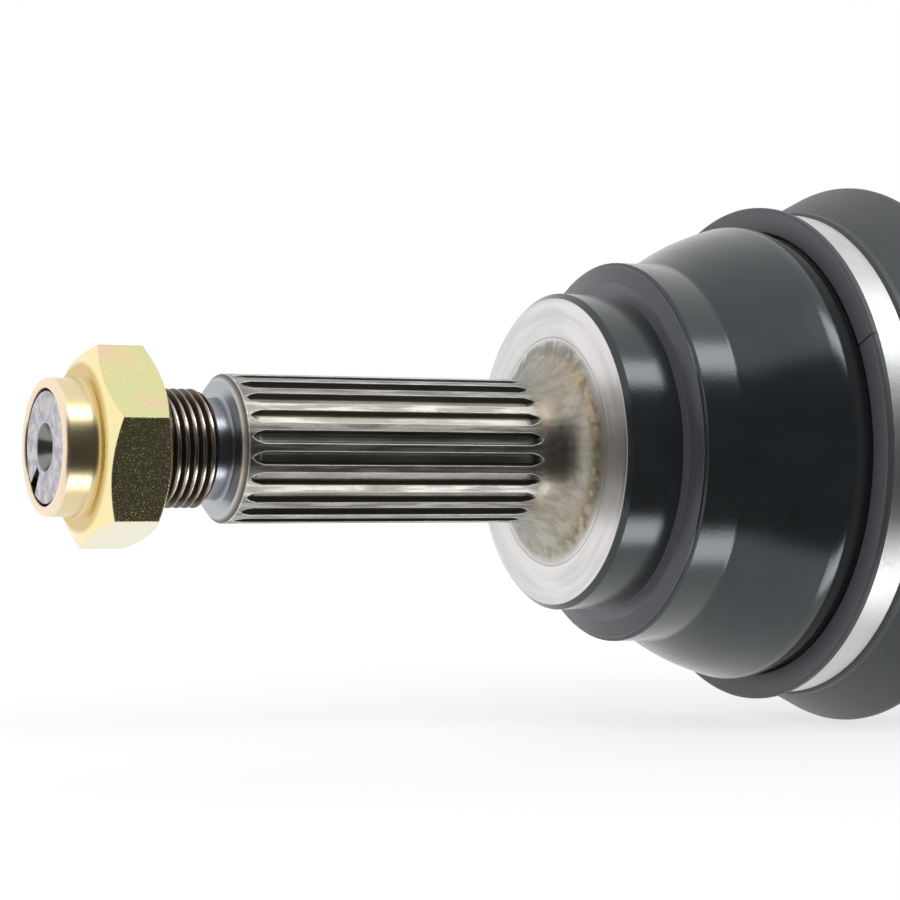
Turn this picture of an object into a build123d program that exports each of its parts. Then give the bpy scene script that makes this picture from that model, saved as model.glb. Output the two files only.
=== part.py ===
from build123d import *
from math import acos, asin, atan2, cos, degrees, hypot, pi, radians, sin, sqrt, tan
import os

# Drive shaft with a fixed ball joint at the wheel end and a sliding tripod joint at the gearbox end.
# X runs along the shaft from the wheel to the gearbox, Z is up, and X = 0 is the machined face that meets
# the wheel hub. Every part is modelled with the shaft straight. Lengths are millimetres, angles degrees.

# Wheel end stub: thread, spline, machined hub face and the black seat behind it
STUB_REACH = 94.0
THREAD_CORE_D = 18.16
THREAD_LENGTH = 26.5
THREAD_END_CHAMFER = 0.3
THREAD_RUN_OUT = 0.6
CENTRE_D = 8.0
CENTRE_HOLE_D = 3.0
CENTRE_HOLE_DEPTH = 9.0
STAKE_SLOT_WIDTH = 3.0
STAKE_SLOT_LENGTH = 14.0
STAKE_SLOT_FLOOR_R = 5.0
STAKE_SLOT_ANGLE = -49.0
NECK_D = 17.0
NECK_LENGTH = 2.9
NECK_STEP_D = 23.0
HUB_SPLINE_D = 25.3
HUB_SPLINE_TEETH = 22
HUB_SPLINE_DEPTH = 1.25
HUB_SPLINE_BEVEL = 1.0
HUB_SPLINE_LEAD = 0.5
HUB_SPLINE_RUN = 2.2
HUB_SPLINE_TURN = -1.5
FLARE_R = 8.0
FACE_D = 54.4
SEAT_D = 56.3
SEAT_BEVEL = 1.0
SEAT_END = 9.0
SHOULDER_D = 66.8
SHOULDER_BEVEL = 1.6
SHOULDER_WIDTH = 2.6

# Outer race bell behind the seat
BELL_NECK_D = 68.0
BELL_NECK_END = 19.6
BELL_WALL = 4.95
BELL_RIM = 1.68
BELL_RIM_R = 5.0
BELL_X = 36.5
BELL_CROWN = 1.1
BELL_CROWN_R = 40.0
BARREL_X = 40.1
MOUTH_X = 53.6

# Hub nut
NUT_FLATS = 30.0
NUT_SETBACK = 17.3
NUT_HEX_LENGTH = 11.8
NUT_RIM_D = 26.8
NUT_COLLAR_D = 22.8
NUT_COLLAR_BORE_D = 19.3
NUT_COLLAR_LENGTH = 5.9
NUT_THREAD_GAP = 0.11
NUT_CORNER_ANGLE = 16.5

# Ball joint at the wheel end
OUTBOARD_X = 33.6
OUTBOARD_BEND = 45.0
BALLS = 6
BALL_D = 15.875
BALL_CIRCLE_R = 27.0
TRACK_OFFSET = 2.5
TRACK_GAP = 0.2
CAGE_IN_R = 24.5
CAGE_OUT_R = 29.5
CAGE_HALF = 13.0
CAGE_GAP = 0.1
WINDOW_GAP = 0.35
BALL_SWAY = 1.25
CAVITY_DEPTH = 24.0
INNER_RACE_HALF = 9.5
TRACK_RUN_OUT = 66.0
TRACK_END_SPARE = 1.5
INNER_TRACK_SWEEP = 52.0

# Bar between the joints
JOINT_SPACING = 300.0
BAR_D = 23.0
RACE_SPLINE_D = 24.0
RACE_COLLAR_D = 26.6
RACE_COLLAR_WIDTH = 2.2
BAR_NECK_D = 22.0
BAR_NECK_LENGTH = 50.0
BAR_TAPER = 6.0
BAR_BLEND_R = 20.0
BAR_END_PAST_RACE = 3.6
SPIDER_SPLINE_D = 21.6
TRIPOD_NECK_D = 20.4
TRIPOD_NECK_LENGTH = 66.0
BAR_END_PAST_SPIDER = 3.6
FIT_GAP = 0.05
CIRCLIP_WIDTH = 1.5
CIRCLIP_STAND = 1.1
CIRCLIP_DEPTH = 1.0
CIRCLIP_GAP = 0.1
CIRCLIP_OPENING = 5.0

# Tripod joint at the gearbox end
INBOARD_BEND = 18.0
PLUNGE_IN = 22.0
PLUNGE_OUT = 13.0
TRIPOD_R = 22.0
TRIPOD_ANGLES = (0.0, 120.0, 240.0)
ROLLER_D = 35.0
ROLLER_HEIGHT = 11.0
ROLLER_EDGE_R = 1.2
ROLLER_GAP = 0.15
NEEDLE_D = 3.0
NEEDLE_LENGTH = 8.8
INNER_RING_D = 24.0
INNER_RING_HEIGHT = 9.2
HEAD_R = 9.55
HEAD_GAP = 0.15
HEAD_TOP = 4.6
TRUNNION_D = 14.0
HUB_RIM_D = 27.0
HUB_MID_D = 30.0
SPIDER_HALF = 10.0
SPIDER_MID_HALF = 5.5
WASHER_THICKNESS = 0.6
WASHER_BORE_D = 21.2
WASHER_GAP = 0.1

# Tulip housing
MOUTH_KEEP = 1.8
TULIP_D = 74.8
TULIP_WEB_D = 61.6
TULIP_WALL = 4.2
TULIP_BORE_D = 38.0
LOBE_INNER_R = 3.0
LOBE_OUTER_R = 4.0
TRACK_FLOOR_GAP = 0.6
TRACK_SHOULDER_GAP = 0.25
TRACK_NECK_HALF = 12.0
TRACK_END_GAP = 0.8
TULIP_END_WALL = 9.0
TULIP_BACK_D = 52.0
JOURNAL_D = 35.0
JOURNAL_START = 14.0
JOURNAL_LENGTH = 24.0
GEARBOX_SPLINE_D = 27.0
GEARBOX_SPLINE_TEETH = 25
GEARBOX_SPLINE_DEPTH = 1.2
GEARBOX_SPLINE_START = 48.0
GEARBOX_SPLINE_LENGTH = 44.0
GEARBOX_STUB_LENGTH = 107.0
GEARBOX_TIP_D = 24.0

# Boots and their clamps
BOOT_GAP = 0.15
OUTBOARD_CUFF_WALL = 3.05
INBOARD_CUFF_WALL = 2.3
BOOT_LIP_HEIGHT = 1.9
BOOT_LIP_WIDTH = 1.6
BAND_WIDTH = 6.2
BAND_THICKNESS = 0.8
BAND_GAP = 0.1
BOOT_STEP_GAP = 0.8
BOOT_RIB_HEIGHT = 1.4
BOOT_RIB_WIDTH = 1.4
BOOT_WALL = 2.4
FIRST_FOLD_RISE = 7.15
LAST_FOLD_D = 47.0
FOLD_DEPTH_FIRST = 12.0
FOLD_DEPTH_LAST = 6.0
FOLD_R = 2.2
OUTBOARD_FOLDS = 6
OUTBOARD_FOLD_START = 21.0
OUTBOARD_FOLD_PITCH = 13.6
INBOARD_FOLDS = 5
INBOARD_FOLD_START = 17.0
INBOARD_FOLD_PITCH = 12.5
SMALL_CUFF_LENGTH = 11.0
SMALL_CUFF_WALL = 2.4
SMALL_CUFF_LIP = 0.9
SMALL_CUFF_LEAD = 4.0
SMALL_CUFF_SWELL = 2.5
SMALL_CUFF_STEP = 2.0
SMALL_BAND_WIDTH = 6.0
BOOT_SEAT_D = 25.0
BOOT_SEAT_RIM = 2.0
BOOT_SEAT_DEPTH = 0.5
SOFT_GAP = 0.3
EAR_LENGTH = 9.0
EAR_HEIGHT = 3.4
EAR_WALL = 0.9
ADAPTER_WALL = 3.0
ADAPTER_WIDTH = 11.0
ADAPTER_GAP = 0.15
ADAPTER_SETBACK = 0.6

NUT_REAR_X = -STUB_REACH + NUT_SETBACK
NECK_X = -STUB_REACH + THREAD_LENGTH + THREAD_RUN_OUT
HUB_SPLINE_START = NECK_X + NECK_LENGTH + HUB_SPLINE_BEVEL
BALL_R = BALL_D / 2
BARREL_R = BALL_CIRCLE_R + BALL_R + TRACK_GAP + BELL_WALL
BELL_R = BARREL_R + BELL_RIM
BOOT_START_X = BARREL_X + BOOT_STEP_GAP
OUTBOARD_CUFF_R = BARREL_R + BOOT_GAP
OUTBOARD_BAND_SEAT_R = OUTBOARD_CUFF_R + OUTBOARD_CUFF_WALL
BALL_REST_R = sqrt(BALL_CIRCLE_R**2 - TRACK_OFFSET**2)
BALL_ANGLES = [360 * k / BALLS for k in range(BALLS)]
SPIDER_X = OUTBOARD_X + JOINT_SPACING
ROLLER_R = ROLLER_D / 2
SWING_SHIFT = 1.5 * TRIPOD_R * sin(radians(INBOARD_BEND))
MOUTH_BEFORE_SPIDER = PLUNGE_OUT + SWING_SHIFT + MOUTH_KEEP
TULIP_X = SPIDER_X - MOUTH_BEFORE_SPIDER
TULIP_DEPTH = MOUTH_BEFORE_SPIDER + PLUNGE_IN + SWING_SHIFT + ROLLER_R + TRACK_END_GAP
TULIP_BACK_X = TULIP_X + TULIP_DEPTH + TULIP_END_WALL
ADAPTER_D = TULIP_D + 2 * ADAPTER_GAP + 2 * ADAPTER_WALL
INBOARD_CUFF_R = ADAPTER_D / 2 + BOOT_GAP
INBOARD_BAND_SEAT_R = INBOARD_CUFF_R + INBOARD_CUFF_WALL
INBOARD_BOOT_X = TULIP_X + ADAPTER_SETBACK + ADAPTER_WIDTH + BOOT_LIP_WIDTH
LARGE_CUFF_LENGTH = BOOT_LIP_WIDTH + BAND_WIDTH + 2 * BAND_GAP
LARGE_BAND_MID = BOOT_LIP_WIDTH + BAND_GAP + BAND_WIDTH / 2
SMALL_CUFF_BORE_R = BOOT_SEAT_D / 2 - BOOT_SEAT_DEPTH + SOFT_GAP
SMALL_BAND_SEAT_R = SMALL_CUFF_BORE_R + SMALL_CUFF_WALL


def turned(*corners):
    """Solid of revolution about X from (x, r, fillet) corners, closed along the axis."""
    points = [(x, r) for x, r, _ in corners]
    outline = FilletPolyline(*points, radius=[f for _, _, f in corners], close=True)
    return revolve(make_face(outline), Axis.X)


def ring(x0, x1, r0, r1, edge=0.0):
    """Plain ring between two stations, with its outer edges rounded."""
    return turned((x0, r0, 0), (x0, r1, edge), (x1, r1, edge), (x1, r0, 0))


def around(angle, shape):
    """Turns a shape about the shaft from the +Y side towards +Z."""
    return Rot(angle, 0, 0) * shape


def across(x, sketch):
    """Puts a sketch into the plane across the shaft at a station, its x axis along +Y."""
    return Plane((x, 0, 0), x_dir=(0, 1, 0), z_dir=(1, 0, 0)) * sketch


def groove_section(x, outer_r, depth, pitch, share):
    """Section of one spline groove at a station. A share below 1 makes it shallower and narrower."""
    root_half, lip = 0.17 * pitch * share, 0.6
    half_top = root_half + 0.15 * pitch / depth * (depth * share + lip)
    root_r = outer_r - depth * share
    outline = Polyline((-root_half, root_r), (root_half, root_r), (half_top, outer_r + lip),
                       (-half_top, outer_r + lip), close=True)
    return across(x, make_face(outline))


def spline_cutters(outer_r, depth, teeth, stations, turn=0.0):
    """Grooves between the teeth, through (x, share of the full section) stations."""
    pitch = 2 * pi * outer_r / teeth
    groove = loft([groove_section(x, outer_r, depth, pitch, share) for x, share in stations], ruled=True)
    return [around(turn + 360 * k / teeth, groove) for k in range(teeth)]


def track_tool(offset, mouth_angle, closed_angle):
    """Round groove of the ball circle about a centre on the axis, at the +Y side, with a ball-shaped end."""
    centre = Vector(OUTBOARD_X + offset, 0, 0)
    start = Vector(sin(radians(mouth_angle)), cos(radians(mouth_angle)), 0)
    along = Vector(-start.Y, start.X, 0)
    circle = Plane(centre + start * BALL_CIRCLE_R, x_dir=start, z_dir=along) * Circle(BALL_R + TRACK_GAP)
    tube = revolve(circle, Axis(centre, (0, 0, 1)), mouth_angle + closed_angle)
    end = Vector(-sin(radians(closed_angle)), cos(radians(closed_angle)), 0) * BALL_CIRCLE_R
    return tube + Pos(centre + end) * Sphere(BALL_R + TRACK_GAP)


def outer_race_cavity():
    """Spherical inside of the bell, opening in a cone that lets the bar bend to its limit."""
    radius = CAGE_OUT_R + CAGE_GAP
    slope = tan(radians(OUTBOARD_BEND))
    reach = (BAR_NECK_D / 2 + 2 * SOFT_GAP) / cos(radians(OUTBOARD_BEND))
    x_cone = (-slope * reach + sqrt(radius**2 * (1 + slope**2) - reach**2)) / (1 + slope**2)
    x_out = MOUTH_X - OUTBOARD_X + 2
    floor_r = sqrt(radius**2 - CAVITY_DEPTH**2)
    dome = CenterArc((0, 0), radius, degrees(atan2(slope * x_cone + reach, x_cone)),
                     degrees(atan2(floor_r, -CAVITY_DEPTH)) - degrees(atan2(slope * x_cone + reach, x_cone)))
    sides = Polyline(dome @ 1, (-CAVITY_DEPTH, 0), (x_out, 0), (x_out, slope * x_out + reach), dome @ 0)
    return Pos(OUTBOARD_X, 0, 0) * around(180 / BALLS, revolve(make_face([dome, sides]), Axis.X))


def stub_body():
    """Turned outside of the stub and bell, from the thread end to the mouth."""
    core, spline, neck, step = THREAD_CORE_D / 2, HUB_SPLINE_D / 2, NECK_D / 2, NECK_STEP_D / 2
    rim, bell_neck = SHOULDER_D / 2, BELL_NECK_D / 2
    x_mid, r_mid = (BELL_NECK_END + BELL_X) / 2, (bell_neck + BELL_R) / 2 + BELL_CROWN
    return turned(
        (-STUB_REACH, 0, 0), (-STUB_REACH, core - THREAD_END_CHAMFER, 0),
        (-STUB_REACH + THREAD_END_CHAMFER, core, 0), (-STUB_REACH + THREAD_LENGTH, core, 0),
        (NECK_X, neck, 0), (NECK_X + NECK_LENGTH, neck, 0.6), (NECK_X + NECK_LENGTH, step, 0.4),
        (HUB_SPLINE_START, spline, 0), (0, spline, FLARE_R), (0, FACE_D / 2, 0),
        (SEAT_BEVEL, SEAT_D / 2, 0), (SEAT_END, SEAT_D / 2, 0), (SEAT_END, rim - SHOULDER_BEVEL, 0),
        (SEAT_END + SHOULDER_BEVEL / 2, rim, 0.3), (SEAT_END + SHOULDER_WIDTH, rim, 0),
        (SEAT_END + SHOULDER_WIDTH + 0.5, bell_neck, 0), (BELL_NECK_END, bell_neck, 1.5),
        (x_mid, r_mid, BELL_CROWN_R), (BELL_X, BELL_R, BELL_RIM_R), (BARREL_X, BARREL_R, 1.0),
        (MOUTH_X, BARREL_R, 0.6), (MOUTH_X, 0, 0))


def centre_drilling(x_end, way):
    """Lathe centre in an end face: a cone with a small hole behind it, running along X the given way."""
    r, hole_r = CENTRE_D / 2, CENTRE_HOLE_D / 2
    cone, bottom = x_end + way * (r - hole_r) * sqrt(3), x_end + way * CENTRE_HOLE_DEPTH
    return turned((x_end, 0, 0), (x_end, r, 0), (cone, hole_r, 0), (bottom, hole_r, 0), (bottom, 0, 0))


def outer_race():
    """One forging: threaded and splined stub with the bell whose inside carries the ball tracks."""
    body = stub_body() - outer_race_cavity()
    deepest = degrees(asin(TRACK_OFFSET / BALL_CIRCLE_R)) + OUTBOARD_BEND / 2 + TRACK_END_SPARE
    track = track_tool(TRACK_OFFSET, TRACK_RUN_OUT, deepest)
    body -= [around(angle, track) for angle in BALL_ANGLES]
    x0, x1, run = HUB_SPLINE_START + HUB_SPLINE_LEAD, -FLARE_R, HUB_SPLINE_RUN
    body -= spline_cutters(HUB_SPLINE_D / 2, HUB_SPLINE_DEPTH, HUB_SPLINE_TEETH,
                           [(x0, 0.05), (x0 + 0.35 * run, 0.6), (x0 + run, 1), (x1 - run, 1),
                            (x1 - 0.35 * run, 0.6), (x1, 0.05)], HUB_SPLINE_TURN)
    body -= centre_drilling(-STUB_REACH, 1)
    slot = Pos(-STUB_REACH, STAKE_SLOT_FLOOR_R, 0) * Box(STAKE_SLOT_LENGTH, THREAD_CORE_D, STAKE_SLOT_WIDTH,
                                                         align=(Align.MIN, Align.MIN, Align.CENTER))
    return body - around(STAKE_SLOT_ANGLE, slot)


def hub_nut():
    """Hexagon nut with a thin round collar at the front, both ends of the hexagon chamfered."""
    corner_r = NUT_FLATS / sqrt(3)
    front = NUT_REAR_X - NUT_HEX_LENGTH
    rim, collar, collar_bore = NUT_RIM_D / 2, NUT_COLLAR_D / 2, NUT_COLLAR_BORE_D / 2
    bevel = (corner_r + 1 - rim) * tan(radians(28))
    hexagon = Plane((front, 0, 0), x_dir=(0, 1, 0), z_dir=(1, 0, 0)) * RegularPolygon(corner_r, 6)
    prism = around(180 - NUT_CORNER_ANGLE, extrude(hexagon, amount=NUT_HEX_LENGTH))
    blank = turned((front, 0, 0), (front, rim, 0), (front + bevel, corner_r + 1, 0),
                   (NUT_REAR_X - bevel, corner_r + 1, 0), (NUT_REAR_X, rim, 0), (NUT_REAR_X, 0, 0))
    sleeve = turned((front - NUT_COLLAR_LENGTH, collar_bore, 0.5), (front - NUT_COLLAR_LENGTH, collar, 1.0),
                    (front, collar, 1.2), (front + 0.2, rim, 0), (front + 0.4, rim, 0),
                    (front + 0.4, collar_bore, 0))
    bore = THREAD_CORE_D / 2 + NUT_THREAD_GAP
    hole = turned((front, 0, 0), (front, collar_bore, 0), (front + 1, bore, 0), (NUT_REAR_X - 1, bore, 0),
                  (NUT_REAR_X + 1, bore + 2, 0), (NUT_REAR_X + 1, 0, 0))
    return (prism & blank) + sleeve - hole


def ball(angle):
    return around(angle, Pos(OUTBOARD_X, BALL_REST_R, 0) * Sphere(BALL_R))


def spherical_ring(radius, half):
    """Ball of the given radius cut flat at both ends."""
    arc_end = degrees(acos(half / radius))
    top = CenterArc((0, 0), radius, arc_end, 180 - 2 * arc_end)
    sides = Polyline(top @ 1, (-half, 0), (half, 0), top @ 0)
    return Pos(OUTBOARD_X, 0, 0) * around(180 / BALLS, revolve(make_face([top, sides]), Axis.X))


def ball_cage():
    """Spherical ring that holds the balls in one plane, one window for each ball."""
    inside = spherical_ring(CAGE_IN_R, CAGE_HALF + 1)
    window = RectangleRounded(BALL_D + 2 * WINDOW_GAP, BALL_D + 2 * (BALL_SWAY + SOFT_GAP / 2), 2.5)
    opening = Plane((OUTBOARD_X, CAGE_IN_R - 8, 0), x_dir=(1, 0, 0), z_dir=(0, 1, 0)) * window
    cutter = extrude(opening, amount=CAGE_OUT_R - CAGE_IN_R + 10)
    return spherical_ring(CAGE_OUT_R, CAGE_HALF) - inside - [around(a, cutter) for a in BALL_ANGLES]


def inner_race():
    """Inner race on the bar's spline, with one track for each ball."""
    body = spherical_ring(CAGE_IN_R - CAGE_GAP, INNER_RACE_HALF)
    body -= Pos(OUTBOARD_X, 0, 0) * Rot(0, 90, 0) * Cylinder(RACE_SPLINE_D / 2 + FIT_GAP, 3 * INNER_RACE_HALF)
    track = track_tool(-TRACK_OFFSET, INNER_TRACK_SWEEP, INNER_TRACK_SWEEP)
    return body - [around(angle, track) for angle in BALL_ANGLES]


def circlip(x, shaft_d):
    """Open ring in a groove of the bar."""
    r0 = shaft_d / 2 - CIRCLIP_DEPTH + CIRCLIP_GAP
    r1 = shaft_d / 2 + CIRCLIP_STAND
    opening = Pos(x, 0, r1) * Box(4 * CIRCLIP_WIDTH, CIRCLIP_OPENING, 3 * (r1 - r0))
    return ring(x, x + CIRCLIP_WIDTH, r0, r1) - opening


def circlip_groove(x, shaft_d):
    r0 = shaft_d / 2 - CIRCLIP_DEPTH
    return ring(x - CIRCLIP_GAP, x + CIRCLIP_WIDTH + CIRCLIP_GAP, r0, shaft_d / 2 + 3)


RACE_CLIP_X = OUTBOARD_X - INNER_RACE_HALF - CIRCLIP_GAP - CIRCLIP_WIDTH
SPIDER_CLIPS_X = (SPIDER_X - SPIDER_HALF - CIRCLIP_GAP - CIRCLIP_WIDTH, SPIDER_X + SPIDER_HALF + CIRCLIP_GAP)


def outboard_cuff_x():
    """Start of the small cuff of the wheel-side boot."""
    return BOOT_START_X + OUTBOARD_FOLD_START + OUTBOARD_FOLDS * OUTBOARD_FOLD_PITCH - SMALL_CUFF_LEAD


def inboard_cuff_x():
    """Start of the small cuff of the gearbox-side boot, which faces the gearbox."""
    folds_length = INBOARD_FOLD_START + LARGE_CUFF_LENGTH + INBOARD_FOLDS * INBOARD_FOLD_PITCH
    return INBOARD_BOOT_X - folds_length + SMALL_CUFF_LEAD


def boot_seat(x0, x1):
    """Raised seat on the bar with a shallow groove for a boot's small cuff."""
    r, rim = BOOT_SEAT_D / 2, BOOT_SEAT_RIM
    return turned((x0 - rim - 1, 0, 0), (x0 - rim - 1, BAR_D / 2 - 0.5, 0), (x0 - rim, r, 0), (x0, r, 0),
                  (x0, r - BOOT_SEAT_DEPTH, 0), (x1, r - BOOT_SEAT_DEPTH, 0), (x1, r, 0), (x1 + rim, r, 0),
                  (x1 + rim + 1, BAR_D / 2 - 0.5, 0), (x1 + rim + 1, 0, 0))


def axle_bar():
    """Solid bar with a collar behind the inner race, necks that let the joints bend, and two boot seats."""
    x_start = OUTBOARD_X - INNER_RACE_HALF - BAR_END_PAST_RACE
    x_collar = OUTBOARD_X + INNER_RACE_HALF + FIT_GAP
    x_bar = OUTBOARD_X + BAR_NECK_LENGTH
    x_tripod = SPIDER_X - TRIPOD_NECK_LENGTH
    x_spline = SPIDER_X - SPIDER_HALF - 4
    x_end = SPIDER_X + SPIDER_HALF + BAR_END_PAST_SPIDER
    race, spider, neck = RACE_SPLINE_D / 2, SPIDER_SPLINE_D / 2, TRIPOD_NECK_D / 2
    bar = turned(
        (x_start, 0, 0), (x_start, race - 0.9, 0), (x_start + 0.9, race, 0), (x_collar, race, 0),
        (x_collar, RACE_COLLAR_D / 2, 0.4), (x_collar + RACE_COLLAR_WIDTH, RACE_COLLAR_D / 2, 0.4),
        (x_collar + RACE_COLLAR_WIDTH, BAR_NECK_D / 2, 1.0), (x_bar, BAR_NECK_D / 2, BAR_BLEND_R),
        (x_bar + BAR_TAPER, BAR_D / 2, BAR_BLEND_R), (x_tripod - BAR_TAPER, BAR_D / 2, BAR_BLEND_R),
        (x_tripod, neck, BAR_BLEND_R),
        (x_spline - 1, neck, 0), (x_spline, spider, 0), (x_end - 0.9, spider, 0), (x_end, spider - 0.9, 0),
        (x_end, 0, 0))
    bar += boot_seat(outboard_cuff_x(), outboard_cuff_x() + SMALL_CUFF_LENGTH)
    bar += boot_seat(inboard_cuff_x() - SMALL_CUFF_LENGTH, inboard_cuff_x())
    bar -= circlip_groove(RACE_CLIP_X, RACE_SPLINE_D)
    return bar - [circlip_groove(x, SPIDER_SPLINE_D) for x in SPIDER_CLIPS_X]


def on_trunnion(angle, shape):
    """Places a shape made about Z onto a trunnion, its centre at the roller's centre."""
    return around(angle, Pos(SPIDER_X, TRIPOD_R, 0) * Rot(-90, 0, 0) * shape)


def tube(r0, r1, height, z=0.0):
    return Pos(0, 0, z) * (Cylinder(r1, height) - Cylinder(r0, height * 2))


def spider():
    """Three-armed hub. Each arm ends in a ball-shaped head that swivels and slides in its roller."""
    rim, mid = HUB_RIM_D / 2, HUB_MID_D / 2
    body = Pos(SPIDER_X, 0, 0) * turned(
        (-SPIDER_HALF, 0, 0), (-SPIDER_HALF, rim, 0), (-SPIDER_MID_HALF, mid, 0), (SPIDER_MID_HALF, mid, 0),
        (SPIDER_HALF, rim, 0), (SPIDER_HALF, 0, 0))
    head = Sphere(HEAD_R) & Pos(0, 0, HEAD_TOP - HEAD_R) * Box(3 * HEAD_R, 3 * HEAD_R, 2 * HEAD_R)
    arm = head + Pos(0, 0, -TRIPOD_R / 2) * Cylinder(TRUNNION_D / 2, TRIPOD_R)
    body += [on_trunnion(angle, arm) for angle in TRIPOD_ANGLES]
    bore = Cylinder(SPIDER_SPLINE_D / 2 + FIT_GAP, 4 * SPIDER_HALF)
    return body - Pos(SPIDER_X, 0, 0) * Rot(0, 90, 0) * bore


def roller_inner_ring(angle):
    body = tube(HEAD_R + HEAD_GAP, INNER_RING_D / 2, INNER_RING_HEIGHT)
    return on_trunnion(angle, body)


def needle_set(angle):
    """Full row of loose needles between the inner ring and the roller."""
    centre_r = INNER_RING_D / 2 + FIT_GAP + NEEDLE_D / 2
    count = int(2 * pi * centre_r / (NEEDLE_D * 1.05))
    row = PolarLocations(centre_r, count) * Cylinder(NEEDLE_D / 2, NEEDLE_LENGTH)
    return Compound(children=[on_trunnion(angle, needle) for needle in row])


def roller_bore_r():
    return INNER_RING_D / 2 + NEEDLE_D + 2 * FIT_GAP


def roller_ring(angle):
    """Outer roller that runs in the housing's track."""
    outside = Cylinder(ROLLER_R, ROLLER_HEIGHT)
    outside = fillet(outside.edges().filter_by(GeomType.CIRCLE), ROLLER_EDGE_R)
    return on_trunnion(angle, outside - Cylinder(roller_bore_r(), 2 * ROLLER_HEIGHT))


def roller_washers(angle):
    """Two thin washers that close the needle row, flush inside the roller."""
    z = INNER_RING_HEIGHT / 2 + WASHER_GAP + WASHER_THICKNESS / 2
    outer_r = roller_bore_r() - WASHER_GAP
    pair = [tube(WASHER_BORE_D / 2, outer_r, WASHER_THICKNESS, side * z) for side in (-1, 1)]
    return Compound(children=[on_trunnion(angle, washer) for washer in pair])


def lobed_outline(grow):
    """Outer section of the housing: three lobes over the roller tracks and recessed webs between them."""
    half = ROLLER_R + ROLLER_GAP + TULIP_WALL + grow
    round_r = TULIP_D / 2 + grow
    slab = Pos(round_r / 2, 0) * Rectangle(round_r, 2 * half)
    lobes = Circle(round_r) & Sketch() + [Rot(0, 0, angle) * slab for angle in TRIPOD_ANGLES]
    section = lobes + Circle(TULIP_WEB_D / 2 + grow)
    inner = [v for v in section.vertices() if hypot(v.X, v.Y) < round_r - 1]
    section = fillet(inner, LOBE_INNER_R)
    outer = [v for v in section.vertices() if hypot(v.X, v.Y) >= round_r - 0.01]
    return fillet(outer, LOBE_OUTER_R)


def roller_track():
    """Section of one track: the roller's channel and the narrower neck that its trunnion passes."""
    low = TRIPOD_R - ROLLER_HEIGHT / 2 - TRACK_SHOULDER_GAP
    high = TRIPOD_R + ROLLER_HEIGHT / 2 + TRACK_FLOOR_GAP
    channel = Pos((low + high) / 2, 0) * Rectangle(high - low, 2 * (ROLLER_R + ROLLER_GAP))
    neck = Pos(high / 2, 0) * Rectangle(high, 2 * TRACK_NECK_HALF)
    return channel + neck


def tulip_housing():
    """Forged housing with three roller tracks, and the stub that enters the gearbox, in one piece."""
    back, journal, spline = TULIP_BACK_X, JOURNAL_D / 2, GEARBOX_SPLINE_D / 2
    envelope = turned(
        (TULIP_X, 0, 0), (TULIP_X, TULIP_D / 2 + 2, 0), (back - 6, TULIP_D / 2 + 2, 4),
        (back - 1, TULIP_BACK_D / 2 + 3, 3), (back + 6, journal + 2.5, 4), (back + 10, journal + 1.5, 0),
        (back + 10, 0, 0))
    body = extrude(across(TULIP_X, lobed_outline(0)), amount=back + 10 - TULIP_X) & envelope
    x_j, x_s = back + JOURNAL_START, back + GEARBOX_SPLINE_START
    tip, end = GEARBOX_TIP_D / 2, back + GEARBOX_STUB_LENGTH
    body += turned(
        (back - 2, 0, 0), (back - 2, journal + 1.5, 0), (x_j - 1, journal + 1.5, 0), (x_j, journal, 0),
        (x_j + JOURNAL_LENGTH, journal, 0), (x_j + JOURNAL_LENGTH + 1.5, spline + 1.5, 0),
        (x_s - 1.5, spline + 1.5, 1.0), (x_s - 1.5, spline - GEARBOX_SPLINE_DEPTH, 0.4),
        (x_s, spline - GEARBOX_SPLINE_DEPTH, 0), (x_s + 0.8, spline, 0),
        (x_s + GEARBOX_SPLINE_LENGTH, spline, 0), (x_s + GEARBOX_SPLINE_LENGTH + 1.4, tip, 0),
        (end - 1.5, tip, 0), (end, tip - 1.5, 0), (end, 0, 0))
    bore = ring(TULIP_X - 1, TULIP_X + TULIP_DEPTH, 0, TULIP_BORE_D / 2)
    tracks = Sketch() + [Rot(0, 0, angle) * roller_track() for angle in TRIPOD_ANGLES]
    body -= bore + extrude(across(TULIP_X - 1, tracks), amount=TULIP_DEPTH + 1)
    body -= mouth_flare()
    body -= circlip_groove(gearbox_clip_x(), GEARBOX_TIP_D)
    body -= centre_drilling(end, -1)
    return body - spline_cutters(spline, GEARBOX_SPLINE_DEPTH, GEARBOX_SPLINE_TEETH,
                                 [(x_s - 0.5, 1), (x_s + GEARBOX_SPLINE_LENGTH + 3, 1)])


def mouth_flare():
    """Cone that opens the mouth so that the bent bar clears the webs with the joint pushed in."""
    slope = tan(radians(INBOARD_BEND))
    reach = (MOUTH_BEFORE_SPIDER + PLUNGE_IN) * slope
    mouth_r = reach + (TRIPOD_NECK_D / 2 + SOFT_GAP) / cos(radians(INBOARD_BEND))
    depth = (mouth_r - TULIP_BORE_D / 2) / slope
    return turned((TULIP_X - 1, 0, 0), (TULIP_X - 1, mouth_r + slope, 0),
                  (TULIP_X + depth, TULIP_BORE_D / 2, 0), (TULIP_X + depth, 0, 0))


def gearbox_clip_x():
    """Place of the snap ring near the gearbox end."""
    return TULIP_BACK_X + GEARBOX_STUB_LENGTH - 6.0


def adapter_ring():
    """Plastic ring with a lobed inside that makes the housing's mouth round for the boot."""
    x = TULIP_X + ADAPTER_SETBACK
    outside = extrude(across(x, Circle(ADAPTER_D / 2)), amount=ADAPTER_WIDTH)
    outside = fillet(outside.edges().filter_by(GeomType.CIRCLE), 0.8)
    return outside - extrude(across(x - 1, lobed_outline(ADAPTER_GAP)), amount=ADAPTER_WIDTH + 2)


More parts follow.
